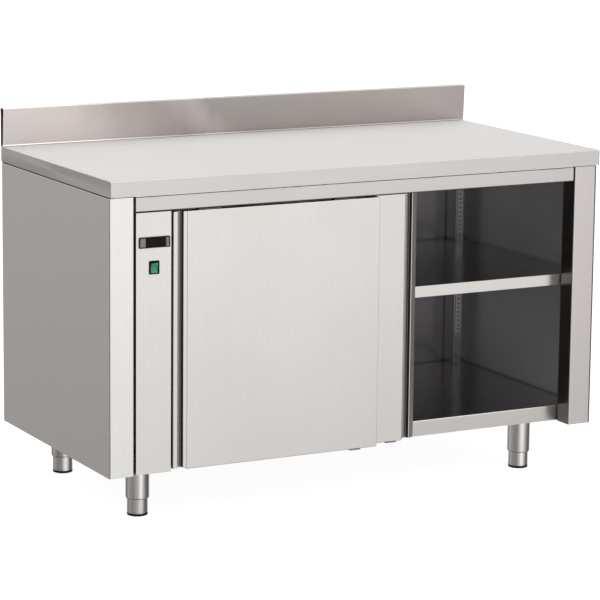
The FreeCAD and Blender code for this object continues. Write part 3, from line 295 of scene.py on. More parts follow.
def add_node(tree, kind, inputs=(), **settings):
    node = tree.nodes.new(kind)
    for setting, value in settings.items():
        setattr(node, setting, value)
    for socket, value in dict(inputs).items():
        if isinstance(value, bpy.types.NodeSocket):
            tree.links.new(value, node.inputs[socket])
        else:
            node.inputs[socket].default_value = value
    return node


def noise(tree, scale, detail, stretch=EVEN):
    """Noise in the part's own space, stretched along an axis where a share is below 1."""
    place = add_node(tree, "ShaderNodeTexCoord").outputs["Object"]
    mapped = add_node(tree, "ShaderNodeMapping", {"Vector": place, "Scale": stretch})
    texture = add_node(
        tree, "ShaderNodeTexNoise",
        {
            "Vector": mapped.outputs["Vector"],
            "Scale": scale,
            "Detail": detail,
            "Roughness": NOISE_ROUGHNESS,
        },
    )
    return texture.outputs["Fac"]


def remapped(tree, value, low, high, source=NOISE_SPAN):
    """A value brought from its source range to a new one."""
    node = add_node(
        tree, "ShaderNodeMapRange",
        {"Value": value, "From Min": source[0], "From Max": source[1], "To Min": low, "To Max": high},
    )
    return node.outputs["Result"]


def calculated(tree, operation, first, second):
    node = add_node(tree, "ShaderNodeMath", {0: first, 1: second}, operation=operation)
    return node.outputs["Value"]


def mixed(tree, factor, first, second, blend="MIX"):
    """A mix of two colours. Each is a socket or red, green and blue shares."""
    node = add_node(
        tree, "ShaderNodeMix", {"Factor": factor}, data_type="RGBA", blend_type=blend,
    )
    for socket, value in (("A", first), ("B", second)):
        target = next(s for s in node.inputs if s.name == socket and s.type == "RGBA")
        if isinstance(value, bpy.types.NodeSocket):
            tree.links.new(value, target)
        else:
            target.default_value = (*value, 1)
    return next(s for s in node.outputs if s.type == "RGBA")


def shaded(tone, share):
    """A tone made darker by a share below 1, or paler by one above it."""
    return [min(part * share, 1) for part in tone]


def bump(tree, height, strength, distance=GRAIN_DEPTH):
    node = add_node(
        tree, "ShaderNodeBump", {"Height": height, "Strength": strength, "Distance": distance},
    )
    return node.outputs["Normal"]


def worn_and_highlit(tree, colour, edge_width, share, tone):
    """The colour with a share of a paler tone along edges and folds: wear where hands and cloths rub,
    and a painted highlight.
    """
    turned = add_node(
        tree, "ShaderNodeBevel", {"Radius": edge_width}, samples=EDGE_SAMPLES,
    ).outputs["Normal"]
    plain = add_node(tree, "ShaderNodeNewGeometry").outputs["Normal"]
    likeness = add_node(tree, "ShaderNodeVectorMath", {0: turned, 1: plain}, operation="DOT_PRODUCT")
    edges = remapped(tree, likeness.outputs["Value"], 1, 0, WORN_AND_HIGHLIGHT_SPAN)
    return mixed(tree, calculated(tree, "MULTIPLY", edges, share), colour, tone)


def crevice_shade(tree, colour, reach, share):
    """The colour with painted shade: dark in gaps and inner corners."""
    open_sky = add_node(
        tree, "ShaderNodeAmbientOcclusion", {"Distance": reach}, samples=SKY_SAMPLES,
    )
    crevices = remapped(tree, open_sky.outputs["AO"], 1, 0, OPEN_SKY_SPAN)
    return mixed(tree, calculated(tree, "MULTIPLY", crevices, share), colour, CREVICE_SHADE_TONE)


def facing(tree, axis, sign):
    """1 where the surface faces along an axis, 0 where it faces across it or away."""
    normal = add_node(tree, "ShaderNodeNewGeometry").outputs["Normal"]
    split = add_node(tree, "ShaderNodeSeparateXYZ", {"Vector": normal}).outputs[axis]
    return remapped(tree, calculated(tree, "MULTIPLY", split, sign), 0, 1, FACING_SPAN)


def brushed_steel(
    name, grain, tone, roughness, side=None, other_tone=None, other_roughness=None, wear_and_highlight_share=0.3,
):
    """Stainless steel ground along one axis. Its tone and roughness can hold for one side only; the
    other faces then take another tone, painted light where it is paler and painted shade where it is
    darker.
    """
    hair_scale, streak_scale, cloud_scale = 1400, 160, 2.2
    light_share, dark_share, pale_share = 1.015, 0.985, 1.05
    warm_share, crevice_shade_share, streak_height_share = 0.6, 0.75, 0.2
    wear_and_highlight_width, gap_reach = 0.0022, 0.012
    hair_roughness, cloud_roughness, grain_strength = 0.04, 0.03, 0.04
    material, tree, shader = new_material(name)
    stretch = GRAIN_SHARES[grain]
    hairs = noise(tree, hair_scale, 4, stretch)
    streaks = noise(tree, streak_scale, 3, stretch)
    clouds = noise(tree, cloud_scale, 2)
    streaked = remapped(tree, streaks, 0, 1)
    warm = [part * share for part, share in zip(tone, WARM_SHARES)]
    colour = mixed(tree, streaked, shaded(tone, dark_share), shaded(tone, light_share))
    colour = mixed(tree, remapped(tree, clouds, 0, warm_share), colour, warm)
    rough = roughness
    # Painted light and shade: one tone on the given side, another on the other faces.
    if side:
        there = facing(tree, *side)
        elsewhere = mixed(tree, streaked, other_tone, shaded(other_tone, pale_share))
        colour = mixed(tree, there, elsewhere, colour)
        rough = remapped(tree, there, other_roughness, roughness, UNIT_SPAN)
    # Paler edges and folds: part wear, part painted highlight.
    colour = worn_and_highlit(tree, colour, wear_and_highlight_width, wear_and_highlight_share, WORN_AND_HIGHLIGHT_TONE)
    # Painted shade in gaps and inner corners.
    colour = crevice_shade(tree, colour, gap_reach, crevice_shade_share)
    rough = calculated(tree, "ADD", rough, remapped(tree, hairs, -hair_roughness, hair_roughness))
    rough = calculated(tree, "ADD", rough, remapped(tree, clouds, -cloud_roughness, cloud_roughness))
    tree.links.new(colour, shader.inputs["Base Color"])
    tree.links.new(rough, shader.inputs["Roughness"])
    shader.inputs["Metallic"].default_value = 1
    across = add_node(tree, "ShaderNodeTangent", direction_type="RADIAL", axis=grain.upper())
    tree.links.new(across.outputs["Tangent"], shader.inputs["Tangent"])
    shader.inputs["Anisotropic"].default_value = SPREAD_SHARE
    height = calculated(tree, "ADD", hairs, calculated(tree, "MULTIPLY", streaks, streak_height_share))
    tree.links.new(bump(tree, height, grain_strength), shader.inputs["Normal"])
    return material


def turned_steel(name, tone, roughness):
    """Polished tube: soft streaks that run up it, and faint rings left by the lathe."""
    streak_scale, scratch_scale, ring_scale = 55, 900, 700
    streak_shares, scratch_shares, ring_shares = (1, 1, 0.02), (1, 1, 0.03), (0.01, 0.01, 1)
    dull_share, pale_share, scratch_share, wear_and_highlight_share, crevice_shade_share = 0.55, 1.15, 0.5, 0.3, 0.6
    streak_span, ring_roughness = (0.4, 0.62), (-0.05, 0.06)
    wear_and_highlight_width, gap_reach, ring_strength = 0.0012, 0.02, 0.08
    material, tree, shader = new_material(name)
    streaks = noise(tree, streak_scale, 4, streak_shares)
    scratches = noise(tree, scratch_scale, 3, scratch_shares)
    rings = noise(tree, ring_scale, 3, ring_shares)
    colour = mixed(tree, remapped(tree, streaks, 0, 1, streak_span), shaded(tone, dull_share), tone)
    colour = mixed(tree, remapped(tree, scratches, 0, scratch_share), colour, shaded(tone, pale_share))
    # Paler edges and folds: part wear, part painted highlight.
    colour = worn_and_highlit(tree, colour, wear_and_highlight_width, wear_and_highlight_share, POLISHED_TONE)
    # Painted shade in gaps and inner corners.
    colour = crevice_shade(tree, colour, gap_reach, crevice_shade_share)
    rough = calculated(tree, "ADD", remapped(tree, rings, *ring_roughness), roughness)
    tree.links.new(colour, shader.inputs["Base Color"])
    tree.links.new(rough, shader.inputs["Roughness"])
    shader.inputs["Metallic"].default_value = 1
    tree.links.new(bump(tree, rings, ring_strength), shader.inputs["Normal"])
    return material


def coated_metal(name, tone, roughness, spangle):
    """Zinc, aluminium or dark steel with a mottled surface."""
    cloud_scale, mottle_share, dark_share, pale_share = 30, 0.12, 0.8, 1.3
    cloud_share, wear_and_highlight_share, metal_share, rough_shares = 0.4, 0.4, 0.9, (0.8, 1.2)
    wear_and_highlight_width, cloud_strength, cloud_depth = 0.001, 0.1, 0.0003
    material, tree, shader = new_material(name)
    place = add_node(tree, "ShaderNodeTexCoord").outputs["Object"]
    cells = add_node(tree, "ShaderNodeTexVoronoi", {"Vector": place, "Scale": spangle})
    clouds = noise(tree, cloud_scale, 3)
    colour = mixed(tree, mottle_share, tone, cells.outputs["Color"], "SOFT_LIGHT")
    colour = mixed(tree, remapped(tree, clouds, 0, cloud_share), colour, shaded(tone, dark_share))
    # Paler edges and folds: part wear, part painted highlight.
    colour = worn_and_highlit(tree, colour, wear_and_highlight_width, wear_and_highlight_share, shaded(tone, pale_share))
    rough = remapped(tree, clouds, *(roughness * share for share in rough_shares))
    tree.links.new(colour, shader.inputs["Base Color"])
    tree.links.new(rough, shader.inputs["Roughness"])
    shader.inputs["Metallic"].default_value = metal_share
    tree.links.new(bump(tree, clouds, cloud_strength, cloud_depth), shader.inputs["Normal"])
    return material


def moulded(name, tone, roughness, gleam=0.5):
    """Plastic or rubber with a fine moulded grain, and paler edges that are part wear and part painted
    highlight.
    """
    grain_scale, cloud_scale, wear_and_highlight_width, grain_strength = 2500, 60, 0.0008, 0.15
    pale_share, pale_lift, cloud_share, wear_and_highlight_share = 1.3, 0.004, 0.4, 0.5
    rough_shares = (0.85, 1.15)
    material, tree, shader = new_material(name)
    grain = noise(tree, grain_scale, 2)
    clouds = noise(tree, cloud_scale, 3)
    paler = [min(part * pale_share + pale_lift, 1) for part in tone]
    colour = mixed(tree, remapped(tree, clouds, 0, cloud_share), tone, paler)
    # Paler edges and folds: part wear, part painted highlight.
    colour = worn_and_highlit(tree, colour, wear_and_highlight_width, wear_and_highlight_share, paler)
    rough = remapped(tree, clouds, *(roughness * share for share in rough_shares))
    tree.links.new(colour, shader.inputs["Base Color"])
    tree.links.new(rough, shader.inputs["Roughness"])
    shader.inputs["Specular IOR Level"].default_value = gleam
    tree.links.new(bump(tree, grain, grain_strength), shader.inputs["Normal"])
    return material


def lit_plastic(name, tone, glow):
    """Clear coloured plastic, patchy where the lamp behind it is near or far."""
    patch_scale, grain_scale, patch_span = 130, 1800, (0.38, 0.6)
    dark_share, coat_share, grain_strength, rough_span = 0.35, 0.6, 0.1, (0.22, 0.36)
    material, tree, shader = new_material(name)
    patches = noise(tree, patch_scale, 2)
    grain = noise(tree, grain_scale, 2)
    colour = mixed(tree, remapped(tree, patches, 0, 1, patch_span), shaded(tone, dark_share), tone)
    tree.links.new(colour, shader.inputs["Base Color"])
    tree.links.new(colour, shader.inputs["Emission Color"])
    shader.inputs["Emission Strength"].default_value = glow
    shader.inputs["Coat Weight"].default_value = coat_share
    tree.links.new(remapped(tree, grain, *rough_span), shader.inputs["Roughness"])
    tree.links.new(bump(tree, grain, grain_strength), shader.inputs["Normal"])
    return material


def fibrous(name, tone, thread_scale):
    """Mineral wool or fibreboard: matted threads with dark gaps."""
    lump_scale, thread_shares, rough_span = 25, (1, 1, 0.2), (0.85, 1)
    dark_share, pale_share, lump_share = 0.6, 1.15, 0.4
    thread_strength, thread_depth = 0.6, 0.001
    material, tree, shader = new_material(name)
    threads = noise(tree, thread_scale, 5, thread_shares)
    lumps = noise(tree, lump_scale, 3)
    colour = mixed(tree, remapped(tree, threads, 0, 1), shaded(tone, dark_share), tone)
    colour = mixed(tree, remapped(tree, lumps, 0, lump_share), colour, shaded(tone, pale_share))
    tree.links.new(colour, shader.inputs["Base Color"])
    tree.links.new(remapped(tree, threads, *rough_span), shader.inputs["Roughness"])
    tree.links.new(bump(tree, threads, thread_strength, thread_depth), shader.inputs["Normal"])
    return material


OUTER = (0.755, 0.732, 0.71)
# The chamber's inside: the outer steel darkened, painted shade.
SHADED_INNER_TONE = (0.31, 0.302, 0.306)
OUTER_ROUGHNESS = 0.3
INNER_ROUGHNESS = 0.2
FRONT, TOP, LEFT, RIGHT = ("Y", -1), ("Z", 1), ("X", -1), ("X", 1)
UNDERSIDE, BACK = (2, -1), (1, 1)

upright_steel = brushed_steel("upright_steel", "z", OUTER, OUTER_ROUGHNESS)
lengthwise_steel = brushed_steel("lengthwise_steel", "x", OUTER, OUTER_ROUGHNESS)
# Inside the chamber: painted shade all over, with strong painted highlights along its edges.
inner_steel = brushed_steel("inner_steel", "z", SHADED_INNER_TONE, INNER_ROUGHNESS, wear_and_highlight_share=0.9)
rail_steel = brushed_steel("rail_steel", "x", (0.63, 0.61, 0.595), OUTER_ROUGHNESS)
# The slotted strips: paler than the chamber's walls, painted light so their slots show.
strip_steel = brushed_steel("strip_steel", "z", (0.52, 0.51, 0.505), 0.25, wear_and_highlight_share=0)
# The left post: a paler copy of the outer steel, painted light.
left_post_steel = brushed_steel("left_post_steel", "z", (0.83, 0.815, 0.8), OUTER_ROUGHNESS)
# The right post: its side facing into the opening darkened, painted shade.
right_post_steel = brushed_steel(
    "right_post_steel", "z", (0.26, 0.245, 0.235), 0.3, LEFT, (0.66, 0.62, 0.605), OUTER_ROUGHNESS,
)
# The left side: its outer face a paler copy of the steel, painted light; its inner faces painted
# shade.
left_skin_steel = brushed_steel(
    "left_skin_steel", "z", (0.84, 0.805, 0.78), OUTER_ROUGHNESS, LEFT, SHADED_INNER_TONE, INNER_ROUGHNESS,
)
# The right side: its inner faces pale, painted light.
right_skin_steel = brushed_steel(
    "right_skin_steel", "z", OUTER, OUTER_ROUGHNESS, RIGHT, (0.92, 0.9, 0.91), 0.5,
)
# The shelf: the faces that do not face front darkened, painted shade.
front_edge_steel = brushed_steel(
    "front_edge_steel", "x", OUTER, OUTER_ROUGHNESS, FRONT, SHADED_INNER_TONE, INNER_ROUGHNESS,
)
# The chamber floor: its top inside the chamber darkened, painted shade.
base_edge_steel = brushed_steel(
    "base_edge_steel", "x", (0.63, 0.605, 0.585), OUTER_ROUGHNESS, FRONT, (0.3, 0.29, 0.295),
    INNER_ROUGHNESS,
)
# The worktop: its top darker than its edges, painted shade.
worktop_steel = brushed_steel(
    "worktop_steel", "x", (0.545, 0.54, 0.535), 0.75, TOP, (0.64, 0.617, 0.6), 0.35,
)
# The grip's groove: dark on its floor and near black on its walls, painted shade.
groove_steel = brushed_steel(
    "groove_steel", "z", (0.3, 0.28, 0.265), 0.25, FRONT, (0.1, 0.093, 0.087), 0.35,
)
leg_steel = turned_steel("leg_steel", (0.8, 0.77, 0.745), 0.14)
black_plastic = moulded("black_plastic", (0.006, 0.006, 0.006), 0.5, 0.12)
display_plastic = moulded("display_plastic", (0.004, 0.004, 0.004), 0.2, 0.08)
grey_plastic = moulded("grey_plastic", (0.15, 0.146, 0.134), 0.5, 0.3)
green_plastic = lit_plastic("green_plastic", (0.02, 0.25, 0.15), 0.2)

REFLECTION_SHARES = (
    (0, 0.95), (0.16, 0.85), (0.3, 0.25), (0.36, 0.05), (0.42, 0.3), (0.47, 0), (0.8, 0.1), (1, 0.16),
)


def painted_reflection_steel():
    """The upstand's finish: darker as painted shade, with paler painted reflections that lean across
    its left end.
    """
    tone, pale, roughness = (0.4, 0.36, 0.35), (0.78, 0.72, 0.7), 0.34
    lean_share, wisp_scale, wisp_shares, wisp_share = 1.2, 9, (1, 1, 0.3), 0.2
    reflection_span = (0.45, 1.95)
    material = brushed_steel("painted_reflection_steel", "x", tone, roughness)
    tree = material.node_tree
    shader = tree.nodes["Principled BSDF"]
    plain = shader.inputs["Base Color"].links[0].from_socket
    place = add_node(tree, "ShaderNodeTexCoord").outputs["Object"]
    split = add_node(tree, "ShaderNodeSeparateXYZ", {"Vector": place})
    slant = calculated(tree, "MULTIPLY", split.outputs["Z"], lean_share)
    wisps = calculated(tree, "MULTIPLY", noise(tree, wisp_scale, 3, wisp_shares), wisp_share)
    leaning = calculated(tree, "ADD", calculated(tree, "ADD", split.outputs["X"], slant), wisps)
    ramp = add_node(
        tree, "ShaderNodeValToRGB", {"Fac": remapped(tree, leaning, 0, 1, reflection_span)},
    )
    stops = ramp.color_ramp.elements
    for place_share, _ in REFLECTION_SHARES[1:-1]:
        stops.new(place_share)
    for stop, (place_share, pale_share) in zip(stops, REFLECTION_SHARES):
        stop.position = place_share
        stop.color = (pale_share, pale_share, pale_share, 1)
    # Paler painted reflections over the darker steel.
    tree.links.new(mixed(tree, ramp.outputs["Color"], plain, pale), shader.inputs["Base Color"])
    return material


upstand_steel = painted_reflection_steel()

FINISHES = {
    "brushed_stainless": upright_steel,
    "inner_stainless": inner_steel,
    "zinc_coated_steel": coated_metal("zinc_coated_steel", (0.3, 0.3, 0.305), 0.45, 120),
    "foot_stainless": leg_steel,
    "dark_steel": coated_metal("dark_steel", (0.12, 0.12, 0.125), 0.45, 400),
    "track_aluminium": coated_metal("track_aluminium", (0.7, 0.7, 0.7), 0.35, 500),
    "nylon": moulded("nylon", (0.75, 0.74, 0.7), 0.45),
    "black_plastic": black_plastic,
    "grey_plastic": grey_plastic,
    "display_plastic": display_plastic,
    "green_plastic": green_plastic,
    "white_plastic": moulded("white_plastic", (0.24, 0.235, 0.225), 0.45),
    "buffer_rubber": moulded("buffer_rubber", (0.02, 0.02, 0.02), 0.75),
    "fibreboard": fibrous("fibreboard", (0.4, 0.28, 0.17), 900),
    "mineral_wool": fibrous("mineral_wool", (0.5, 0.47, 0.3), 500),
}
OWN_FINISHES = {
    "slotted_strips": strip_steel,
    "shelf": front_edge_steel,
    "control_panel": upright_steel,
    "front_door_hangers": FINISHES["dark_steel"],
    "rear_door_hangers": FINISHES["dark_steel"],
    "back_panel": lengthwise_steel,
    "base_plate": lengthwise_steel,
}


# Worktop and upstand

def make_worktop():
    """The folded pan of the worktop, its edge turned down all round."""
    low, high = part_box("worktop_skin")
    bend = 0.0025
    pan_piece(
        "worktop", low, high, UNDERSIDE, bend, worktop_steel, "cabinet",
        ("worktop_skin",), sheet=WORKTOP_SHEET,
    )


def make_upstand():
    """The leaning front face with a small toe at its foot, the flat top and the back."""
    low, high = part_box("upstand")
    lean, toe_reach, toe_height, gap, bend = 0.005, 0.0018, 0.0035, 0.0008, 0.002
    foot = low.y + lean
    path = [
        (high.y, low.z),
        (high.y, high.z),
        (low.y, high.z),
        (foot, low.z + toe_height),
        (foot - toe_reach, low.z + gap),
    ]
    folded_piece(
        "upstand_sheet", path, "x", (low.x, high.x), bend, upstand_steel, "cabinet",
        ("upstand",),
    )


# Body

def make_front_posts():
    """Two channels that face the front, open to the rear."""
    outer_bend, flange = 0.004, 0.012
    for name, finish in (("left_front_post", left_post_steel), ("right_front_post", right_post_steel)):
        low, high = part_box(name)
        path = [
            (low.x + flange, high.y),
            (low.x, high.y),
            (low.x, low.y),
            (high.x, low.y),
            (high.x, high.y),
            (high.x - flange, high.y),
        ]
        folded_piece(
            f"{name}_sheet", path, "z", (low.z, high.z - FRONT_REVEAL), outer_bend, finish, "cabinet",
            (name,),
        )


def make_side_panels():
    """The side sheets, folded inwards along the top."""
    bend, flange = 0.002, 0.012
    for name, sign, finish in (
        ("left_side_panel", 1, left_skin_steel),
        ("right_side_panel", -1, right_skin_steel),
    ):
        low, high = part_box(name)
        outside, top = (low.x, high.z - SIDE_REVEAL) if sign > 0 else (high.x, high.z - SIDE_REVEAL)
        path = [(outside, low.z), (outside, top), (outside + sign * flange, top)]
        if sign > 0:
            path.reverse()
        folded_piece(
            f"{name}_sheet", path, "y", (low.y, high.y), bend, finish, "cabinet",
            (name,),
        )


def make_top_rail():
    """The cover above the doors, with a return along the foot of its front face."""
    low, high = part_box("top_rail")
    bend, lip = 0.003, 0.008
    path = [
        (high.y, low.z),
        (high.y, high.z - FRONT_REVEAL),
        (low.y, high.z - FRONT_REVEAL),
        (low.y, low.z),
        (low.y + lip, low.z),
    ]
    folded_piece(
        "rail_sheet", path, "x", (low.x, high.x), bend, rail_steel, "cabinet",
        ("top_rail",),
    )


def make_chamber_floor():
    """The chamber's floor, folded down at the front as the base's front edge."""
    low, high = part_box("chamber_floor")
    bend = 0.003
    path = [(high.y, low.z), (high.y, high.z), (low.y, high.z), (low.y, low.z)]
    folded_piece(
        "floor_sheet", path, "x", (low.x, high.x), bend, base_edge_steel, "cabinet",
        ("chamber_floor",),
    )


def make_rear_columns():
    """Two channels at the rear corners of the chamber, open towards the back wall."""
    low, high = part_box("rear_columns")
    width, bend = 0.026, 0.0012
    mesh_tool = bmesh.new()
    for start in (low.x, high.x - width):
        path = [
            (start, high.y),
            (start, low.y),
            (start + width, low.y),
            (start + width, high.y),
        ]
        add_prism(mesh_tool, folded(path, SHEET, bend), "z", low.z, high.z)
    finish_mesh(
        "rear_column_pair", mesh_tool, inner_steel, "cabinet", ("rear_columns",),
    )


# Doors

GRIPS = {
    "front": {"facet_width": 0.0018, "facet_depth": 0.003, "nose": 0.013, "groove": 0.015},
    "rear": {"facet_width": 0.017, "facet_depth": 0.009, "nose": 0.019, "groove": 0.017},
}
GROOVE_DEPTH = 0.012


def make_door_grip(side, mirrored):
    """A folded strip with a slanting edge and a finger groove from top to bottom."""
    name, body = f"{side}_door_grip", f"{side}_door"
    low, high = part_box(name)
    width = high.x - low.x
    bend = 0.0014
    sizes = GRIPS[side]
    nose = sizes["nose"]
    far = nose + sizes["groove"]
    section = [
        (0, high.y - low.y),
        (0, sizes["facet_depth"]),
        (sizes["facet_width"], 0),
        (nose, 0),
        (nose, GROOVE_DEPTH),
        (far, GROOVE_DEPTH),
        (far, 0),
        (width, 0),
    ]
    if mirrored:
        path = [(high.x - across, low.y + depth) for across, depth in section][::-1]
    else:
        path = [(low.x + across, low.y + depth) for across, depth in section]
    strip = folded_piece(
        f"{name}_strip", path, "z", (low.z, high.z), bend, upright_steel, body,
        (name,),
    )
    # The groove's faces take the groove steel: painted shade.
    strip.data.materials.append(groove_steel)
    edge = high.x if mirrored else low.x
    for face in strip.data.polygons:
        across = abs(face.center.x - edge)
        in_groove = nose - SHEET < across < far + SHEET and face.center.y > low.y + bend
        if in_groove:
            face.material_index = 1


def make_doors():
    """Each door's outer pan and grip."""
    bend = 0.0014
    for side, mirrored in (("front", False), ("rear", True)):
        body = f"{side}_door"
        low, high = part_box(f"{side}_door_skin")
        if mirrored:
            high.x -= HAIRLINE
        else:
            low.x += HAIRLINE
        pan_piece(
            f"{side}_door_pan", low, high, BACK, bend, upright_steel, body,
            (f"{side}_door_skin",),
        )
        make_door_grip(side, mirrored)


# Thermostat and switch

def make_thermostat():
    """A black frame round two grey strips, with the display between them."""
    low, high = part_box("thermostat_surround")
    rim, recess, corner = 0.0024, 0.0006, 0.0015
    outer_low, outer_high = (low.x, low.z), (high.x, high.z)
    inner_low, inner_high = (low.x + rim, low.z + rim), (high.x - rim, high.z - rim)
    mesh_tool = bmesh.new()
    outer = rounded(box_outline(outer_low, outer_high), corner, closed=True)
    inner = rounded(box_outline(inner_low, inner_high), corner, closed=True)
    add_ring_prism(mesh_tool, outer, inner, "y", low.y, high.y)
    finish_mesh(
        "thermostat_frame", mesh_tool, black_plastic, "cabinet",
        ("thermostat_surround",),
    )
    make_thermostat_strips(inner_low, inner_high, low.y + recess, high.y)


def make_thermostat_strips(low, high, face, back):
    """The grey strips beside the display. The right one has a window for the keys."""
    display_left, display_right = -0.603, -0.549
    key_low, key_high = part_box("thermostat_key_lower"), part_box("thermostat_key_upper")
    play, corner = 0.0005, 0.0004
    mesh_tool = bmesh.new()
    left = rounded(box_outline(low, (display_left, high[1])), corner, closed=True)
    add_prism(mesh_tool, left, "y", face, back)
    outer = rounded(box_outline((display_right, low[1]), high), corner, closed=True)
    window_low = (key_low[0].x - play, key_low[0].z - play)
    window_high = (key_high[1].x + play, key_high[1].z + play)
    inner = rounded(box_outline(window_low, window_high), corner, closed=True)
    add_ring_prism(mesh_tool, outer, inner, "y", face, back)
    finish_mesh("thermostat_strips", mesh_tool, grey_plastic, "cabinet")


def make_keys():
    """Three small keys with a dished middle and a round rim."""
    rim_share, dish, widths_per_corner = 0.3, 0.0004, 2.1
    for place in ("lower", "middle", "upper"):
        name = f"thermostat_key_{place}"
        low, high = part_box(name)
        mesh_tool = bmesh.new()
        width = high.x - low.x
        corner = width / widths_per_corner
        outer = rounded(box_outline((low.x, low.z), (high.x, high.z)), corner, closed=True)
        inset = width * rim_share
        inner_corners = box_outline((low.x + inset, low.z + inset), (high.x - inset, high.z - inset))
        inner = rounded(inner_corners, corner - inset, closed=True)
        add_ring_prism(mesh_tool, outer, inner, "y", low.y, high.y)
        add_prism(mesh_tool, inner, "y", low.y + dish, high.y)
        finish_mesh(
            f"{name}_cap", mesh_tool, FINISHES["white_plastic"], name, (name,),
        )


def make_switch():
    """A bevelled black frame on a box, round a green rocker with ribbed ends."""
    low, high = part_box("switch_housing")
    rocker_low, rocker_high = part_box("power_rocker")
    side_play, end_play, corner, flange = 0.0005, 0.0006, 0.0022, 0.002
    wall = 0.0012
    middle = (low.z + high.z) / 2
    reach = max(rocker_high.z - middle, middle - rocker_low.z) + end_play
    mesh_tool = bmesh.new()
    well_low = Vector((rocker_low.x - side_play, middle - reach))
    well_high = Vector((rocker_high.x + side_play, middle + reach))
    outer = rounded(box_outline((low.x, low.z), (high.x, high.z)), corner, closed=True)
    inner = rounded(box_outline(well_low, well_high), corner / 2, closed=True)
    add_ring_prism(mesh_tool, outer, inner, "y", low.y, low.y + flange)
    walls = Vector((wall, wall))
    shell = rounded(box_outline(well_low - walls, well_high + walls), corner / 2, closed=True)
    add_ring_prism(mesh_tool, shell, inner, "y", low.y + flange, high.y - wall)
    add_prism(mesh_tool, shell, "y", high.y - wall, high.y)
    finish_mesh(
        "switch_frame", mesh_tool, black_plastic, "cabinet",
        ("switch_housing",), soft_edge=0.0005,
    )


def add_rib(mesh_tool, centre, upward, normal, span):
    """Add a thin round bar along X that is half sunk in the face under it."""
    radius, sides = 0.0005, 8
    ring = []
    for step in range(sides):
        angle = FULL_TURN * step / sides
        ring.append(centre + upward * math.cos(angle) * radius + normal * math.sin(angle) * radius)
    ends = []
    for x in span:
        ends.append([mesh_tool.verts.new((x, point.y, point.z)) for point in ring])
    for step in range(sides):
        after = (step + 1) % sides
        mesh_tool.faces.new((ends[0][step], ends[0][after], ends[1][after], ends[1][step]))
    for end in ends:
        mesh_tool.faces.new(end)


def make_rocker():
    """The rocker keeps its own faces, softened, with three ribs on each half."""
    low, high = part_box("power_rocker")
    middle = (low.z + high.z) / 2
    rib_offset, rib_pitch, rib_inset, rib_count = 0.0005, 0.0024, 0.0035, 3
    flat_angle, front_limit = 0.01, -0.8
    span = (low.x + rib_inset, high.x - rib_inset)
    mesh_tool = bmesh.new()
    mesh_tool.from_mesh(nodes["power_rocker"].data)
    bmesh.ops.remove_doubles(mesh_tool, verts=mesh_tool.verts, dist=WELD_DISTANCE)
    bmesh.ops.dissolve_limit(
        mesh_tool, angle_limit=flat_angle, verts=mesh_tool.verts, edges=mesh_tool.edges,
    )
    fronts = [face for face in mesh_tool.faces if face.normal.y < front_limit]
    slopes = [(face.calc_center_median(), face.normal.copy()) for face in fronts]
    for centre, normal in slopes:
        upward = Vector((0, -normal.z, normal.y)).normalized()
        upward = -upward if upward.z < 0 else upward
        outward = 1 if centre.z > middle else -1
        for number in range(rib_count):
            offset = (number - (rib_count - 1) / 2) * rib_pitch + outward * rib_offset
            add_rib(mesh_tool, centre + upward * offset, upward, normal, span)
    finish_mesh(
        "rocker_cap", mesh_tool, green_plastic, "power_rocker",
        ("power_rocker",), soft_edge=0.0006,
    )


# Legs and feet

TURNED_STEPS = 64


def leg_centres():
    """The middle of each foot in plan, by its name."""
    centres = {}
    for name in ("front_left_foot", "front_right_foot", "rear_left_foot", "rear_right_foot"):
        low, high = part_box(name)
        centres[name] = (low + high) / 2
    return centres


def make_leg_tubes(centres):
    """The four tubes in one piece of mesh, each with a rolled mouth and its stud on top."""
    low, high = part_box("leg_tubes")
    radius, mouth, roll, wall = 0.030, 0.0265, 0.003, 0.0015
    stud_radius, stud_length = 0.006, 0.020
    roof = high.z - stud_length
    profile = [
        (mouth, low.z + wall),
        (mouth, low.z + HAIRLINE),
        (radius - roll, low.z),
        (radius - roll / 3, low.z + roll / 3),
        (radius, low.z + roll),
        (radius, roof - HAIRLINE),
        (radius - HAIRLINE, roof),
        (stud_radius, roof),
        (stud_radius, high.z),
        (0, high.z),
        (0, roof - wall * 2),
        (radius - wall, roof - wall * 2),
        (radius - wall, low.z + roll + wall),
        (mouth, low.z + wall),
    ]
    mesh_tool = bmesh.new()
    for centre in centres.values():
        add_turned(mesh_tool, centre, profile, TURNED_STEPS)
    bmesh.ops.remove_doubles(mesh_tool, verts=mesh_tool.verts, dist=WELD_DISTANCE)
    tubes = finish_mesh(
        "leg_tube_set", mesh_tool, leg_steel, "cabinet", ("leg_tubes",), soft_edge=0,
    )
    flatten(tubes)


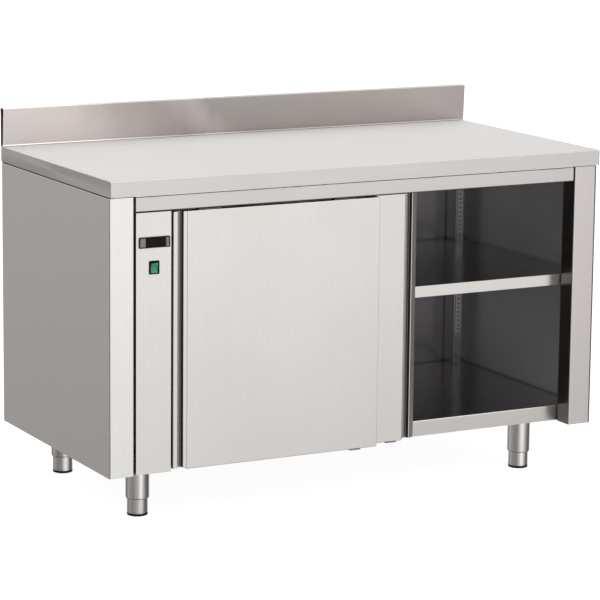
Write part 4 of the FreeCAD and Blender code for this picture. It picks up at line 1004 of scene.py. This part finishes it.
def make_feet(centres):
    """Each foot: a polished cup with its spindle, on a black glide."""
    cup_radius, glide_radius, glide_height, cup_top = 0.026, 0.0262, 0.006, 0.072
    rim, wall, spindle = 0.0012, 0.0015, 0.008
    for name, centre in centres.items():
        low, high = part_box(name)
        cup = [
            (0, glide_height),
            (cup_radius - rim, glide_height),
            (cup_radius - rim / 4, glide_height + rim / 4),
            (cup_radius, glide_height + rim),
            (cup_radius, cup_top - HAIRLINE),
            (cup_radius - HAIRLINE, cup_top),
            (cup_radius - wall, cup_top),
            (cup_radius - wall, glide_height + wall * 2),
            (spindle, glide_height + wall * 2),
            (spindle, high.z - rim),
            (spindle - rim, high.z),
            (0, high.z),
        ]
        mesh_tool = bmesh.new()
        add_turned(mesh_tool, centre, cup, TURNED_STEPS)
        cup_piece = finish_mesh(
            f"{name}_cup", mesh_tool, leg_steel, name, (name,), soft_edge=0,
        )
        flatten(cup_piece)
        glide = [
            (0, low.z),
            (glide_radius - rim * 2, low.z),
            (glide_radius - rim / 2, low.z + rim / 2),
            (glide_radius, low.z + rim * 2),
            (glide_radius, glide_height),
            (0, glide_height),
        ]
        mesh_tool = bmesh.new()
        add_turned(mesh_tool, centre, glide, TURNED_STEPS)
        finish_mesh(f"{name}_glide", mesh_tool, black_plastic, name, soft_edge=0)


# Parts that keep the shape they came with

def slots_of_nodes():
    """The material slot of each node, as the record names it."""
    return {row["node"]: row["material_slot"] for row in frame["record"]["subparts"]}


def finish_nodes():
    """Weld, soften and paint each node that still shows."""
    slots = slots_of_nodes()
    for name, piece in nodes.items():
        if piece.hide_render:
            continue
        weld = piece.modifiers.new("weld", "WELD")
        weld.merge_threshold = WELD_DISTANCE
        soften(piece, SOFT_EDGE)
        piece.data.materials.clear()
        piece.data.materials.append(OWN_FINISHES.get(name, FINISHES[slots[name]]))


# Studio

FLOOR_GLOW = 0.92
FLOOR_TONES = ((0.24, 0.24, 0.24), (0.26, 0.26, 0.26))


def make_floor():
    """A wide pale floor, lit a little from below like a light table."""
    half_side, squares, cloud_scale, roughness = 40, 8, 1.5, 0.9
    mesh_tool = bmesh.new()
    bmesh.ops.create_grid(mesh_tool, x_segments=squares, y_segments=squares, size=half_side)
    mesh = bpy.data.meshes.new("studio_floor")
    mesh_tool.to_mesh(mesh)
    mesh_tool.free()
    material, tree, shader = new_material("pale_floor")
    clouds = noise(tree, cloud_scale, 3)
    colour = mixed(tree, remapped(tree, clouds, 0, 1), *FLOOR_TONES)
    tree.links.new(colour, shader.inputs["Base Color"])
    shader.inputs["Roughness"].default_value = roughness
    shader.inputs["Specular IOR Level"].default_value = 0
    shader.inputs["Emission Color"].default_value = (1, 1, 1, 1)
    shader.inputs["Emission Strength"].default_value = FLOOR_GLOW
    mesh.materials.append(material)
    floor = bpy.data.objects.new("studio_floor", mesh)
    bpy.context.scene.collection.objects.link(floor)
    floor.visible_glossy = False


BASE_LIGHT = 0.8
DIMMEST_LIGHT = 0.15
MOST_ADDED = 1
LIGHTS = {
    "overhead": {"heading": 0, "elevation": 90, "spread": 85, "gain": 0.95},
    "front_window": {"heading": 172, "elevation": 12, "spread": 42, "gain": 1, "most": 0.6},
    "behind_worktop": {"heading": 27, "elevation": 20, "spread": 40, "gain": 0.2},
    "back_left_shade": {"heading": -27, "elevation": 7, "spread": 45, "gain": -0.27},
    "right_shade": {"heading": 95, "elevation": 0, "spread": 50, "gain": -0.45},
    "front_left_shade": {"heading": -105, "elevation": -12, "spread": 58, "gain": -0.27},
    "floor_shade": {"heading": 0, "elevation": -90, "spread": 100, "gain": -0.75},
}


def pointed_at(heading, elevation):
    """The unit vector of a heading, from +Y towards +X, and an elevation, in degrees."""
    turn, rise = math.radians(heading), math.radians(elevation)
    return Vector((math.sin(turn) * math.cos(rise), math.cos(turn) * math.cos(rise), math.sin(rise)))


def make_world():
    """Soft light from all round with wide bright and dim patches, in front of a white backdrop."""
    world = bpy.data.worlds.new("studio")
    world.use_nodes = True
    tree = world.node_tree
    direction = add_node(tree, "ShaderNodeTexCoord").outputs["Generated"]
    strength = BASE_LIGHT
    for light in LIGHTS.values():
        centre = pointed_at(light["heading"], light["elevation"])
        likeness = add_node(
            tree, "ShaderNodeVectorMath", {0: direction, 1: centre}, operation="DOT_PRODUCT",
        )
        patch = add_node(
            tree, "ShaderNodeMapRange",
            {
                "Value": likeness.outputs["Value"],
                "From Min": math.cos(math.radians(light["spread"])),
                "From Max": 1,
                "To Max": light["gain"],
            },
            interpolation_type="SMOOTHSTEP",
        )
        most = light.get("most", MOST_ADDED)
        added = calculated(tree, "MINIMUM", patch.outputs["Result"], most)
        strength = calculated(tree, "ADD", added, strength)
    seen = add_node(tree, "ShaderNodeLightPath").outputs["Is Camera Ray"]
    least = calculated(tree, "MAXIMUM", seen, DIMMEST_LIGHT)
    strength = calculated(tree, "MAXIMUM", strength, least)
    background = tree.nodes["Background"]
    background.inputs["Color"].default_value = (1, 1, 1, 1)
    tree.links.new(strength, background.inputs["Strength"])
    bpy.context.scene.world = world


CAMERA_PLACE = (-3.3384, -6.24871, 1.83053)


def make_camera():
    """The photograph's view: from the left front, a little above the worktop."""
    camera_data = bpy.data.cameras.new("camera")
    camera_data.sensor_width = 36
    camera_data.lens = 164.121
    camera_data.shift_x = 0.08
    camera_data.shift_y = -0.08
    camera_data.clip_end = 200
    camera = bpy.data.objects.new("camera", camera_data)
    right = Vector((0.890762, -0.45441, 0.007386))
    upward = Vector((0.071743, 0.156646, 0.985046))
    backward = right.cross(upward)
    turned = Matrix((right, upward, backward)).transposed()
    camera.matrix_world = Matrix.LocRotScale(CAMERA_PLACE, turned, None)
    bpy.context.scene.collection.objects.link(camera)
    bpy.context.scene.camera = camera


make_worktop()
make_upstand()
make_front_posts()
make_side_panels()
make_top_rail()
make_chamber_floor()
make_rear_columns()
make_doors()
make_thermostat()
make_keys()
make_switch()
make_rocker()
places = leg_centres()
make_leg_tubes(places)
make_feet(places)
finish_nodes()
make_floor()
make_world()
make_camera()
bpy.context.scene.view_settings.view_transform = "Standard"
